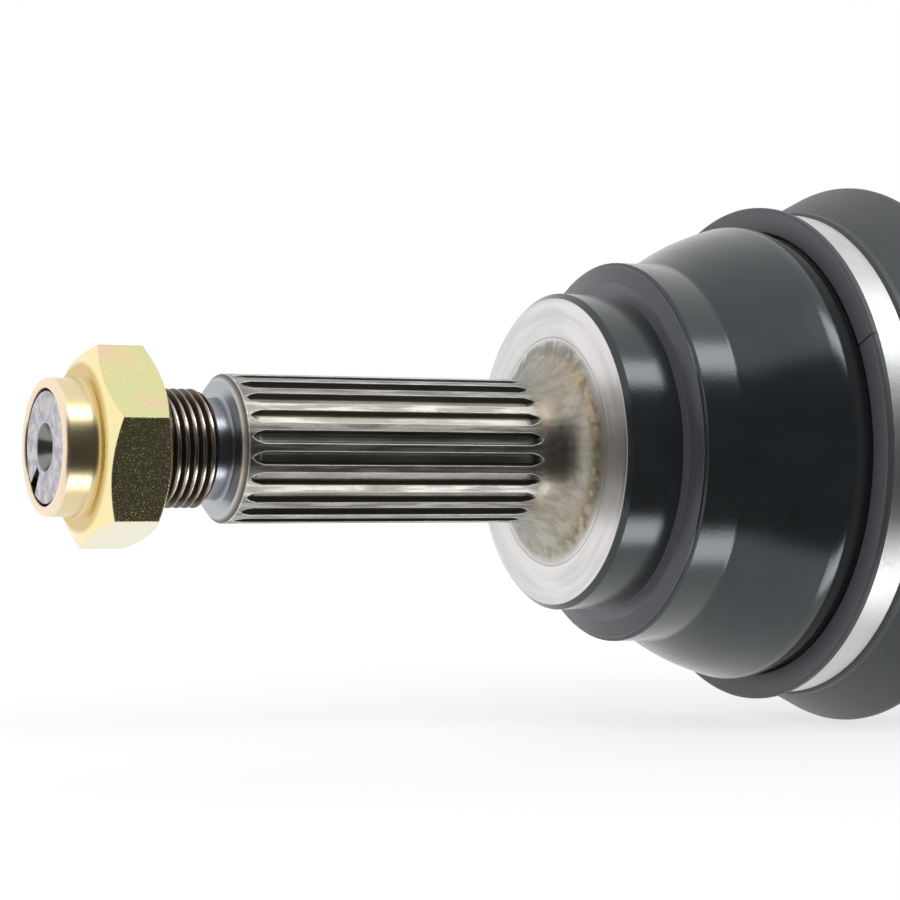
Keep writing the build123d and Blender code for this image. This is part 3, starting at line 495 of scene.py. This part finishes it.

# black paint; on the shoulder and on the steps that stand square to the shaft it is painted
# greyer, as a painted reflection of the pale surroundings
painted = between(tree, along, 0.02, 0.12)
facing = surface_facing(tree)[0]
square_on_painted_reflection = between(tree, product(tree, facing, -1.0), 0.955, 0.99)
paint = mixed(tree, between(tree, cloud, 0.3, 0.7), (0.0095, 0.0115, 0.0130),
              (0.0125, 0.0150, 0.0170))
shoulder_painted_reflection = product(tree, between(tree, radius, SEAT_R + 0.15, SEAT_R + 0.45),
                      between(tree, along, NEW_RIM_START, NEW_RIM_START + 0.2, 1.0, 0.0))
paint = mixed(tree, shoulder_painted_reflection, paint, (0.040, 0.036, 0.045))
paint = mixed(tree, square_on_painted_reflection, paint, (0.080, 0.073, 0.087))
duller = calc(tree, "ADD", product(tree, on_spline, 0.12), product(tree, in_fillet, 0.07))
steel_rough = calc(tree, "ADD", product(tree, marks["Streak"], 0.10),
                   calc(tree, "ADD", 0.24, duller))
paint_rough = calc(tree, "ADD", calc(tree, "ADD", 0.15, product(tree, square_on_painted_reflection, 0.2)),
                   product(tree, fine_grain["Height"], 0.08))
rough = mixed_value(tree, painted, steel_rough, paint_rough)
bare = inverse(tree, painted)
plain_cut = product(tree, bare, inverse(tree, product(tree, on_spline, 0.85)))
peel = product(tree, clouds(tree, spot, 1.7, 2.0), painted)
cut_height = calc(tree, "SUBTRACT", marks["Height"], product(tree, pits, 2.0))
cut_height = product(tree, cut_height, plain_cut)
fine_paint = product(tree, fine_grain["Height"], painted)
ridges = product(tree, mottle, in_fillet)
brushed = product(tree, on_face, between(tree, radius, 19.5, 20.5), 0.9)
around_axis = put(tree, "ShaderNodeTangent", direction_type="RADIAL", axis="X").outputs[0]
finish_shader(tree, shader, {
    "Base Color": mixed(tree, painted, steel, paint), "Roughness": rough, "Metallic": bare,
    "Anisotropic": brushed, "Tangent": around_axis, "Sheen Weight": product(tree, painted, 0.30),
    "Specular IOR Level": calc(tree, "ADD", 0.5, product(tree, square_on_painted_reflection, 0.35)),
    "Normal": bumped(tree, (cut_height, 0.00003), (peel, 0.000012), (fine_paint, 0.000012),
                     (ridges, 0.00003), edge=0.00026)})
shader.inputs["Sheen Roughness"].default_value = 0.35
shader.inputs["Anisotropic Rotation"].default_value = 0.25
shader.inputs["IOR"].default_value = GLOSS_IOR
shader.inputs["Specular Tint"].default_value = (0.88, 0.97, 1.0, 1)
race_shape.materials.clear()
race_shape.materials.append(stub_finish)


# Stub thread: M20 x 1.5, rolled on the end of the stub, with a chamfered first turn and a shallow
# run-out before the neck. The staking slot is milled through it. The core below it belongs to the
# outer race.
THREAD_R, THREAD_CORE_R, THREAD_PITCH, SKIN_DEPTH = 10.0, 9.02, 1.5, 0.8
FLANK_SLOPE, ROOT_SHARE, RUN_OUT_SLOPE = 2.9, 0.22, 1.1
END_FACE_R, SLOT_HALF, SLOT_LENGTH, SLOT_ANGLE = 9.3, 1.5, 14.0, radians(-49)
NUT_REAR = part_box("hub_nut")[1].x * 1000
COLLAR_BORE_REAR, HEX_FRONT, COLLAR_RIM = NUT_REAR - 13, NUT_REAR - 11.7, NUT_REAR - 16.4
COLLAR_ROOT = (11.42, 11.8, 13.6, 14.4)


def thread_radius(x, angle):
    """Radius of the skin, with a chamfer, a run-out at the rear and room for the nut."""
    turn = ((x - STUB_END) / THREAD_PITCH - angle / (2 * pi)) % 1
    ridge = min(1.0, max(0.0, (0.5 - abs(turn - 0.5)) * FLANK_SLOPE - ROOT_SHARE))
    r = THREAD_CORE_R + (THREAD_R - THREAD_CORE_R) * ridge
    r = min(r, THREAD_CORE_R - 0.3 + max(0.0, THREAD_REAR - x) * RUN_OUT_SLOPE)
    if x < COLLAR_BORE_REAR:
        return min(r, END_FACE_R) if x > STUB_END + 0.1 else END_FACE_R - 0.15
    return min(r, THREAD_CORE_R + 0.1 + max(0.0, x - NUT_REAR + 1))


def stub_thread():
    """Skin over the core, open where the staking slot is cut."""
    steps, around = 224, 132
    slot_half_angle = SLOT_HALF / THREAD_R * 1.02
    xs = [STUB_END - 0.01 + (THREAD_REAR - STUB_END) * k / steps for k in range(steps + 1)]
    sweep = 2 * pi - 2 * slot_half_angle
    angles = [SLOT_ANGLE + slot_half_angle + sweep * k / around for k in range(around + 1)]
    row_angles = [angles[0]] + angles + [angles[-1]]
    skin_r = THREAD_CORE_R - SKIN_DEPTH
    points, faces = [], []
    for x in xs:
        radii = [skin_r] + [thread_radius(x, a) for a in angles] + [skin_r]
        points += [(x, r * cos(a), r * sin(a)) for r, a in zip(radii, row_angles)]
    row = around + 3
    for i in range(steps):
        for j in range(row):
            k = (j + 1) % row
            if k == 0 and xs[i] < STUB_END + SLOT_LENGTH:
                continue
            faces.append((i * row + j, i * row + k, (i + 1) * row + k, (i + 1) * row + j))
    inner = len(points)
    centre_r = DRILL_R + 0.05
    points += [(xs[0], centre_r * cos(a), centre_r * sin(a)) for a in angles]
    faces += [(j + 1, inner + j, inner + j + 1, j + 2) for j in range(around)]
    return mesh_piece("stub_thread", [(x / 1000, y / 1000, z / 1000) for x, y, z in points], faces,
                      28)


thread = stub_thread()
thread_finish, tree, shader, place = new_material("thread_steel")
along, radius, spot = place["Along"], place["Radius"], place["Spot"]
marks = lathe_marks(tree, place, pitch=0.3, waver=0.1)
fine_grain = use(tree, grain, {"Spot": spot, "Size": 0.35, "Cover": 0.42})
# dark oiled flanks; the crests are painted lighter, as a thin painted highlight on each turn
crest = between(tree, radius, THREAD_R - 0.14, THREAD_R - 0.03)
oiled = mixed(tree, marks["Streak"], (0.050, 0.040, 0.032), (0.12, 0.095, 0.075))
flank_and_crest_highlight = mixed(tree, crest, oiled, (0.26, 0.225, 0.19))
at_end = between(tree, along, STUB_END + 0.02, STUB_END + 0.1, 1.0, 0.0)
face = mixed(tree, between(tree, clouds(tree, spot, 0.5, 6.0), 0.38, 0.62), (0.46, 0.435, 0.49),
             (0.68, 0.665, 0.69))
rough = calc(tree, "ADD", 0.36, product(tree, at_end, 0.14))
finish_shader(tree, shader, {"Base Color": mixed(tree, at_end, flank_and_crest_highlight, face), "Roughness": rough,
                             "Normal": bumped(tree, (marks["Height"], 0.00002))})
shader.inputs["Metallic"].default_value = 0.92
thread.data.materials.append(thread_finish)
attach(thread, "wheel_stub")


# Hub nut: forged hexagon with a thin collar that can be punched into the slot to lock it. It is
# zinc plated and yellow passivated, so its gold colour drifts towards pink and green.
nut_finish, tree, shader, place = new_material("yellow_zinc")
along, radius, spot = place["Along"], place["Radius"], place["Spot"]
drift = clouds(tree, spot, 0.11, 2.0)
gold = mixed(tree, between(tree, drift, 0.38, 0.62), (0.80, 0.69, 0.36), (0.72, 0.71, 0.36))
pink = clouds(tree, spot, 0.17, 1.0)
gold = mixed(tree, between(tree, pink, 0.52, 0.72), gold, (0.84, 0.62, 0.42))
facing = surface_facing(tree)
turned_part = between(tree, along, HEX_FRONT - 0.5, HEX_FRONT, 1.0, 0.0)
# faces that look down are painted paler, as a painted reflection of the pale surroundings below
underside_painted_reflection = between(tree, product(tree, facing[2], -1.0), 0.6, 0.85)
gold = mixed(tree, underside_painted_reflection, gold, (0.86, 0.82, 0.62))
gold = mixed(tree, turned_part, gold, (0.78, 0.66, 0.39))
rim = between(tree, along, COLLAR_RIM - 0.6, COLLAR_RIM, 1.0, 0.0)
gold = mixed(tree, rim, gold, (0.95, 0.78, 0.58))
chamfer = product(tree, between(tree, product(tree, facing[0], -1.0), 0.28, 0.40),
                  between(tree, radius, 11.5, 12.0))
gold = mixed(tree, chamfer, gold, (0.98, 0.85, 0.46))
collar_root = band(tree, radius, *COLLAR_ROOT)
gold = mixed(tree, product(tree, collar_root, 0.85), gold, (0.64, 0.44, 0.14))
# forged zinc crystals, whose brighter flecks carry painted glints
crystal_grain_and_glints = use(tree, grain, {"Spot": spot, "Size": 0.30, "Cover": 0.38})
forged_part = inverse(tree, turned_part)
gold = mixed(tree, product(tree, crystal_grain_and_glints["Flecks"], forged_part, 0.35), gold, (0.94, 0.88, 0.60))
lathe = lathe_marks(tree, place, pitch=0.25, waver=0.06)
crystal_rough = calc(tree, "ADD", 0.185, product(tree, crystal_grain_and_glints["Flecks"], forged_part, 0.25))
rough = calc(tree, "ADD", crystal_rough, product(tree, turned_part, 0.12))
finish_shader(tree, shader, {
    "Base Color": gold, "Roughness": rough,
    "Normal": bumped(tree, (product(tree, crystal_grain_and_glints["Height"], forged_part), 0.00004),
                     (product(tree, lathe["Height"], turned_part), 0.00002), edge=0.0003)})
shader.inputs["Metallic"].default_value = 1.0
coat("hub_nut", nut_finish)


# Wheel side boot: a moulded rubber bellows. Its thick lip and cuff sit on the bell under the large
# clamp, and its small cuff sits in a groove of the bar, so the folds open on one side when the
# joint bends.
def rounded(corners, steps=6):
    """Points of a closed outline from (x, r, radius) corners, each corner turned by an arc."""
    points = []
    for k, (x, r, fillet) in enumerate(corners):
        here = Vector((x, r))
        back = Vector(corners[k - 1][:2]) - here
        on = Vector(corners[(k + 1) % len(corners)][:2]) - here
        half = back.angle(on) / 2
        if fillet <= 0 or half > radians(88):
            points.append(here)
            continue
        reach = min(fillet / tan(half), 0.48 * back.length, 0.48 * on.length)
        fillet = reach * tan(half)
        centre = here + (back.normalized() + on.normalized()).normalized() * fillet / sin(half)
        start = here + back.normalized() * reach - centre
        end = here + on.normalized() * reach - centre
        sweep = start.angle_signed(end)
        for i in range(steps + 1):
            turned = Matrix.Rotation(-sweep * i / steps, 2) @ start
            points.append(centre + turned)
    return points


def turned_piece(name, outline, around=180, sharp=32):
    """Closed outline in millimetres turned about the shaft."""
    points = [(p.x / 1000, p.y / 1000 * cos(2 * pi * k / around),
               p.y / 1000 * sin(2 * pi * k / around)) for k in range(around) for p in outline]
    n = len(outline)
    faces = [(k * n + i, k * n + (i + 1) % n, (k + 1) % around * n + (i + 1) % n,
              (k + 1) % around * n + i) for k in range(around) for i in range(n)]
    return mesh_piece(name, points, faces, sharp)


LIP_WIDTH, LIP_HEIGHT, RIB_WIDTH, RIB_HEIGHT, WALL = 1.6, 1.9, 1.4, 1.4, 2.4
FIRST_CREST_RISE, LAST_CREST_R, FIRST_DEPTH, LAST_DEPTH, CREST_ROUND = 7.14, 23.5, 12.0, 6.0, 2.2
SMALL_CUFF, SMALL_LEAD, SMALL_SEAT_R, SMALL_BORE_R, SMALL_LIP = 11.0, 4.0, 14.7, 12.3, 0.9
SEAT_INSET, NECK_RUN, NECK_RISE = 2.4, 2, 2.5
BAND_WIDTH = 6.2
LARGE_CUFF = LIP_WIDTH + BAND_WIDTH + 0.2


def bellows(x0, way, bore_r, seat_r, start, pitch, folds):
    """Outline of a boot from its large cuff at x0, running along the shaft the given way."""
    lip_r, rib_r = seat_r + LIP_HEIGHT, seat_r + RIB_HEIGHT
    line = []
    for k in range(folds):
        share = k / (folds - 1)
        crest_r = seat_r + FIRST_CREST_RISE + (LAST_CREST_R - seat_r - FIRST_CREST_RISE) * share
        depth = FIRST_DEPTH + (LAST_DEPTH - FIRST_DEPTH) * share
        line += [(start + k * pitch, crest_r), (start + (k + 0.5) * pitch, crest_r - depth)]
    line.pop()
    rib_end = LARGE_CUFF + RIB_WIDTH
    small0 = start + folds * pitch - SMALL_LEAD
    small1, edge = small0 + SMALL_CUFF, SMALL_SEAT_R + SMALL_LIP
    seat0, seat1 = small0 + SEAT_INSET, small1 - SEAT_INSET
    neck, neck_r = small0 - NECK_RUN, SMALL_SEAT_R + NECK_RISE
    outer = [(0.5, bore_r, 0.2), (0, bore_r + 0.6, 0.15), (0, lip_r, 0.6), (LIP_WIDTH, lip_r, 0.5),
             (LIP_WIDTH, seat_r, 0.2), (LARGE_CUFF, seat_r, 0.2), (LARGE_CUFF, rib_r, 0.5),
             (rib_end, rib_r, 0.8)]
    outer += [(t, r, CREST_ROUND) for t, r in line]
    outer += [(neck, neck_r, 1.5), (small0, edge, 0.4), (seat0, edge, 0.3),
              (seat0, SMALL_SEAT_R, 0.2), (seat1, SMALL_SEAT_R, 0.2), (seat1, edge, 0.3),
              (small1, edge, 0.5), (small1, SMALL_BORE_R, 0.3)]
    inner = [(small0 + 1, SMALL_BORE_R, 1.0), (neck, neck_r - WALL, 1.0)]
    inner += [(t, r - WALL * 1.25, CREST_ROUND / 2) for t, r in reversed(line)]
    inner += [(rib_end + 0.5, bore_r + 0.6, 1.0), (rib_end - 1, bore_r, 0)]
    return rounded([(x0 + way * t, r, f) for t, r, f in outer + inner])


rubber, tree, shader, place = new_material("boot_rubber")
radius, spot = place["Radius"], place["Spot"]
drawn = lathe_marks(tree, place, pitch=0.5, waver=0.22)
pores = use(tree, grain, {"Spot": spot, "Size": 0.5, "Cover": 0.38})
bloom = clouds(tree, spot, 0.05, 5.0)
black = mixed(tree, between(tree, bloom, 0.35, 0.7), (0.020, 0.0235, 0.025), (0.032, 0.037, 0.039))
facing = surface_facing(tree)[0]
# faces square to the shaft are painted a paler purple grey, as a painted reflection
square_on_painted_reflection = between(tree, calc(tree, "ABSOLUTE", facing), 0.85, 0.98)
black = mixed(tree, square_on_painted_reflection, black, (0.105, 0.098, 0.114))
black = mixed(tree, product(tree, drawn["Height"], 0.35), black, (0.055, 0.053, 0.058))
# the two halves of the mould leave a fine step across the lip and along the folds
MOULD_LINE = 152.6
line_angle = calc(tree, "SUBTRACT", place["Angle"], MOULD_LINE)
line_sine = calc(tree, "SINE", product(tree, line_angle, pi / 180))
off_line = product(tree, calc(tree, "ABSOLUTE", line_sine), radius)
on_line = between(tree, off_line, 0.10, 0.22, 1.0, 0.0)
black = mixed(tree, on_line, black, (0.008, 0.008, 0.009))
rough = calc(tree, "ADD", 0.38, product(tree, pores["Height"], 0.22))
finish_shader(tree, shader, {"Base Color": black, "Roughness": rough,
                             "Normal": bumped(tree, (drawn["Height"], 0.00003),
                                              (pores["Height"], 0.00003),
                                              (inverse(tree, on_line), 0.0001))})
shader.inputs["IOR"].default_value = GLOSS_IOR
shader.inputs["Specular Tint"].default_value = (0.92, 0.98, 1.0, 1)

OUTBOARD_BORE_R, OUTBOARD_SEAT_R = 40.24, 43.29
boot_start, boot_end = (corner.x * 1000 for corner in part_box("outboard_boot"))
outline = bellows(boot_start, 1, OUTBOARD_BORE_R, OUTBOARD_SEAT_R, start=21.0, pitch=13.6, folds=6)
outboard_boot = turned_piece("outboard_bellows", outline)
outboard_boot.data.materials.append(rubber)
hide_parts("outboard_boot")
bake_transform(outboard_boot)


# Boot clamps: stainless bands closed by a squeezed ear. The inner end runs on under the ear, and
# the outer end laps over it, where three tabs of the inner layer hook through it.
def band_path(seat_r, ear_angle, thickness):
    """Middle line of the strip in the plane across the shaft, from the tongue to the outer end."""
    inner_r, outer_r = seat_r + 0.1 + thickness / 2, seat_r + 0.12 + thickness * 1.5
    foot = 5.0 / inner_r
    tongue, lap = 26.0 / inner_r, 30.0 / inner_r
    inner_turn = 2 * pi - foot * 1.5
    steps, tongue_steps, lap_steps = 150, 12, 14
    points = [(inner_r, inner_turn * k / steps - tongue) for k in range(steps)]
    points += [(outer_r, 2 * pi - tongue - 0.4 * foot + (tongue - 0.8 * foot) * k / tongue_steps)
               for k in range(tongue_steps + 1)]
    ear = [(-3.7, 0.15), (-4.1, 1.2), (-4.05, 2.2), (-3.2, 2.75), (-1.4, 2.6), (0.0, 2.45),
           (1.4, 2.6), (3.2, 2.75), (4.05, 2.2), (4.1, 1.2), (3.7, 0.15)]
    points += [(outer_r + v, 2 * pi + u / (outer_r + v)) for u, v in ear]
    points += [(outer_r, 2 * pi + foot + lap * k / lap_steps) for k in range(lap_steps + 1)]
    return [Vector((r * cos(a + ear_angle), r * sin(a + ear_angle))) for r, a in points]


def band_clamp(name, node, seat_r, width, ear_angle, steel):
    """Strip along its path with softened edges, and the three tabs that hold its outer end."""
    thickness, tab_half, tab_reach = 0.7, 0.6, 1.6
    middle_x = (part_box(node)[0].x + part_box(node)[1].x) / 2 * 1000
    path = band_path(seat_r, radians(ear_angle), thickness)
    half, deep, soft = width / 2, thickness / 2, 0.16
    section = [(-half, -deep + soft), (-half, deep - soft), (-half + soft, deep),
               (half - soft, deep), (half, deep - soft), (half, -deep + soft), (half - soft, -deep),
               (-half + soft, -deep)]
    points, faces = [], []
    for k, here in enumerate(path):
        ahead = path[min(k + 1, len(path) - 1)] - path[max(k - 1, 0)]
        out = Vector((ahead.y, -ahead.x)).normalized()
        points += [(middle_x + x, *(here + out * d)) for x, d in section]
    n = len(section)
    faces = [(k * n + i, k * n + (i + 1) % n, (k + 1) * n + (i + 1) % n, (k + 1) * n + i)
             for k in range(len(path) - 1) for i in range(n)]
    faces += [tuple(range(n - 1, -1, -1)), tuple(range(len(points) - n, len(points)))]
    for x, reach in ((-width / 4, 15.0), (width / 4, 15.0), (0.0, 23.0)):
        a = radians(ear_angle) + reach / seat_r
        radial, around = Vector((cos(a), sin(a))), Vector((-sin(a), cos(a)))
        first = len(points)
        for up, grow in ((0.8, 0.0), (2.15, 0.0), (2.3, -0.25)):
            for sx, sa in ((-1, -1), (1, -1), (1, 1), (-1, 1)):
                flat = radial * (seat_r + up) + around * sa * (tab_reach + grow)
                points.append((middle_x + x + sx * (tab_half + grow), *flat))
        for row in (first, first + 4):
            faces += [(row + i, row + (i + 1) % 4, row + 4 + (i + 1) % 4, row + 4 + i)
                      for i in range(4)]
        faces += [(first + 3, first + 2, first + 1, first),
                  (first + 8, first + 9, first + 10, first + 11)]
    made = mesh_piece(name, [(x / 1000, y / 1000, z / 1000) for x, y, z in points], faces, 40)
    made.data.materials.append(steel)
    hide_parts(node)
    return made


band_steel, tree, shader, place = new_material("clamp_steel")
along, spot = place["Along"], place["Spot"]
rolled = use(tree, turning_marks, {"Along": along, "Radius": 0.0, "Spot": spot, "Pitch": 0.16,
                                   "Waver": 0.12})
fine_grain = use(tree, grain, {"Spot": spot, "Size": 0.4, "Cover": 0.45})
dull = clouds(tree, spot, 0.12, 4.0)
silver = mixed(tree, rolled["Height"], (0.50, 0.515, 0.51), (0.74, 0.755, 0.745))
silver = mixed(tree, product(tree, between(tree, dull, 0.35, 0.7), 0.5), silver, (0.50, 0.51, 0.51))
rough = calc(tree, "ADD", 0.34, product(tree, fine_grain["Height"], 0.2))
finish_shader(tree, shader, {"Base Color": silver, "Roughness": rough,
                             "Normal": bumped(tree, (rolled["Height"], 0.00002),
                                              (fine_grain["Height"], 0.00003))})
shader.inputs["Metallic"].default_value = 1.0
INBOARD_BORE_R, INBOARD_SEAT_R, SMALL_BAND_WIDTH = 40.7, 43.0, 6.0
for name, seat_r, width, ear_angle, body in (
        ("outboard_large", OUTBOARD_SEAT_R, BAND_WIDTH, 35, "wheel_stub"),
        ("inboard_large", INBOARD_SEAT_R, BAND_WIDTH, 150, "tulip"),
        ("outboard_small", SMALL_SEAT_R, SMALL_BAND_WIDTH, 120, "bar"),
        ("inboard_small", SMALL_SEAT_R, SMALL_BAND_WIDTH, 120, "bar")):
    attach(band_clamp(f"{name}_band", f"{name}_clamp", seat_r, width, ear_angle, band_steel), body)


# Ball joint inside the bell: six ground balls in a hardened cage on the inner race, held on the bar
# by a circlip.
def bearing_steel(name, dark, light, base_rough):
    """Hardened and ground steel with a fine even grain."""
    made, tree, shader, place = new_material(name)
    fine_grain = use(tree, grain, {"Spot": place["Spot"], "Size": 0.25, "Cover": 0.4})
    lines = lathe_marks(tree, place, pitch=0.2, waver=0.08)
    rough = calc(tree, "ADD", base_rough, product(tree, fine_grain["Height"], 0.14))
    shade = product(tree, fine_grain["Flecks"], lines["Streak"])
    finish_shader(tree, shader, {"Base Color": mixed(tree, shade, dark, light), "Roughness": rough,
                                 "Normal": bumped(tree, (fine_grain["Height"], 0.00001))})
    shader.inputs["Metallic"].default_value = 1.0
    return made


ground = bearing_steel("ground_steel", (0.48, 0.48, 0.49), (0.68, 0.68, 0.68), 0.14)
for name in ["ball_cage", "inner_race"] + [f"ball_{k}" for k in range(1, 7)]:
    coat(name, ground)
spring = bearing_steel("spring_steel", (0.10, 0.10, 0.105), (0.20, 0.20, 0.205), 0.3)
coat("race_circlip", spring)


# Bar: hot rolled steel, turned at both ends and sprayed black, with a few grey scuffs.
bar_finish, tree, shader, place = new_material("bar_paint")
spot = place["Spot"]
sprayed = use(tree, grain, {"Spot": spot, "Size": 1.1, "Cover": 0.35})
marks = lathe_marks(tree, place, pitch=0.5, waver=0.08)
black = mixed(tree, sprayed["Height"], (0.011, 0.012, 0.013), (0.021, 0.022, 0.024))
scuffed = between(tree, smear(tree, spot, (0.4, 1.0, 1.0), 0.12, 5.0), 0.60, 0.72)
black = mixed(tree, scuffed, black, (0.05, 0.047, 0.044))
rough = calc(tree, "ADD", 0.24, product(tree, sprayed["Height"], 0.14))
finish_shader(tree, shader, {"Base Color": black, "Roughness": rough,
                             "Normal": bumped(tree, (marks["Height"], 0.00003),
                                              (sprayed["Height"], 0.00005))})
shader.inputs["IOR"].default_value = GLOSS_IOR
coat("axle_bar", bar_finish)


# Tripod: a three-armed spider held on the bar by two circlips. Each arm carries an inner ring, a
# full row of needles between two washers, and the ground roller that runs in the housing.
coat("spider", ground)
for part in ("roller_inner_ring", "needle_set", "roller_ring"):
    for k in (1, 2, 3):
        coat(f"{part}_{k}", ground)
for name in ["spider_circlips"] + [f"roller_washers_{k}" for k in (1, 2, 3)]:
    coat(name, spring)


# Tripod housing: forged with three lobes, sprayed black outside, with a ground journal and a
# splined stub that run in the gearbox and stay bare. A snap ring near its tip holds it there.
GEARBOX_STUB, PAINTED_START = 0.107, 0.013
BARE_FROM = (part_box("tulip_housing")[1].x - GEARBOX_STUB + PAINTED_START) * 1000
housing_finish, tree, shader, place = new_material("forged_housing")
along, spot = place["Along"], place["Spot"]
marks = lathe_marks(tree, place, pitch=0.25, waver=0.05)
forged = use(tree, grain, {"Spot": spot, "Size": 1.6, "Cover": 0.4})
painted = between(tree, along, BARE_FROM - 0.3, BARE_FROM + 0.1, 1.0, 0.0)
ground_steel = mixed(tree, marks["Streak"], (0.52, 0.515, 0.50), (0.70, 0.69, 0.68))
oil = between(tree, smear(tree, spot, (0.5, 1.0, 1.0), 0.16, 5.0), 0.5, 0.75)
ground_steel = mixed(tree, product(tree, oil, 0.6), ground_steel, (0.34, 0.30, 0.24))
scale_black = mixed(tree, forged["Height"], (0.011, 0.012, 0.013), (0.021, 0.022, 0.024))
bare = inverse(tree, painted)
rough = mixed_value(tree, painted, calc(tree, "ADD", 0.20, product(tree, marks["Streak"], 0.14)),
                    calc(tree, "ADD", 0.27, product(tree, forged["Height"], 0.14)))
finish_shader(tree, shader, {"Base Color": mixed(tree, painted, ground_steel, scale_black),
                             "Roughness": rough, "Metallic": bare,
                             "Normal": bumped(tree, (product(tree, marks["Height"], bare), 0.00002),
                                              (product(tree, forged["Height"], painted), 0.00016),
                                              edge=0.0003)})
shader.inputs["IOR"].default_value = GLOSS_IOR
coat("tulip_housing", housing_finish)
coat("gearbox_snap_ring", spring)


# Adapter ring: hard black plastic, moulded with a lobed inside, that makes the housing's mouth
# round for the boot.
plastic, tree, shader, place = new_material("adapter_plastic")
moulded = use(tree, grain, {"Spot": place["Spot"], "Size": 0.6, "Cover": 0.4})
black = mixed(tree, moulded["Height"], (0.020, 0.020, 0.021), (0.034, 0.034, 0.035))
rough = calc(tree, "ADD", 0.36, product(tree, moulded["Height"], 0.2))
finish_shader(tree, shader, {"Base Color": black, "Roughness": rough,
                             "Normal": bumped(tree, (moulded["Height"], 0.00005))})
coat("boot_adapter_ring", plastic)


# Gearbox side boot: the same rubber, held on the adapter ring and on the bar. It is made in two
# pieces, which meet between the second and third fold from the housing.
def clipped(outline, x_cut, keep_below):
    """Part of a closed outline on one side of a station."""
    side = -1 if keep_below else 1
    kept = []
    for k, here in enumerate(outline):
        before = outline[k - 1]
        if (here.x - x_cut) * (before.x - x_cut) < 0:
            kept.append(before.lerp(here, (x_cut - before.x) / (here.x - before.x)))
        if (here.x - x_cut) * side >= 0:
            kept.append(here)
    return kept


boot_end, boot_start = (corner.x * 1000 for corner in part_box("inboard_boot"))
FOLD_START, FOLD_PITCH, FOLD_COUNT = 17.0 + LARGE_CUFF, 12.5, 5
outline = bellows(boot_start, -1, INBOARD_BORE_R, INBOARD_SEAT_R, FOLD_START, FOLD_PITCH,
                  FOLD_COUNT)
seam = boot_start - FOLD_START - 1.5 * FOLD_PITCH
for name, below, bodies, start, end in (
        ("inboard_bellows_bar_side", True, ("bar", "roller_block_23"), boot_end + 12, seam),
        ("inboard_bellows_housing_side", False, ("roller_block_23", "tulip"), seam,
         boot_start - 10)):
    half_boot = turned_piece(name, clipped(outline, seam, below))
    half_boot.data.materials.append(rubber)
    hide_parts("inboard_boot")
    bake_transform(half_boot)
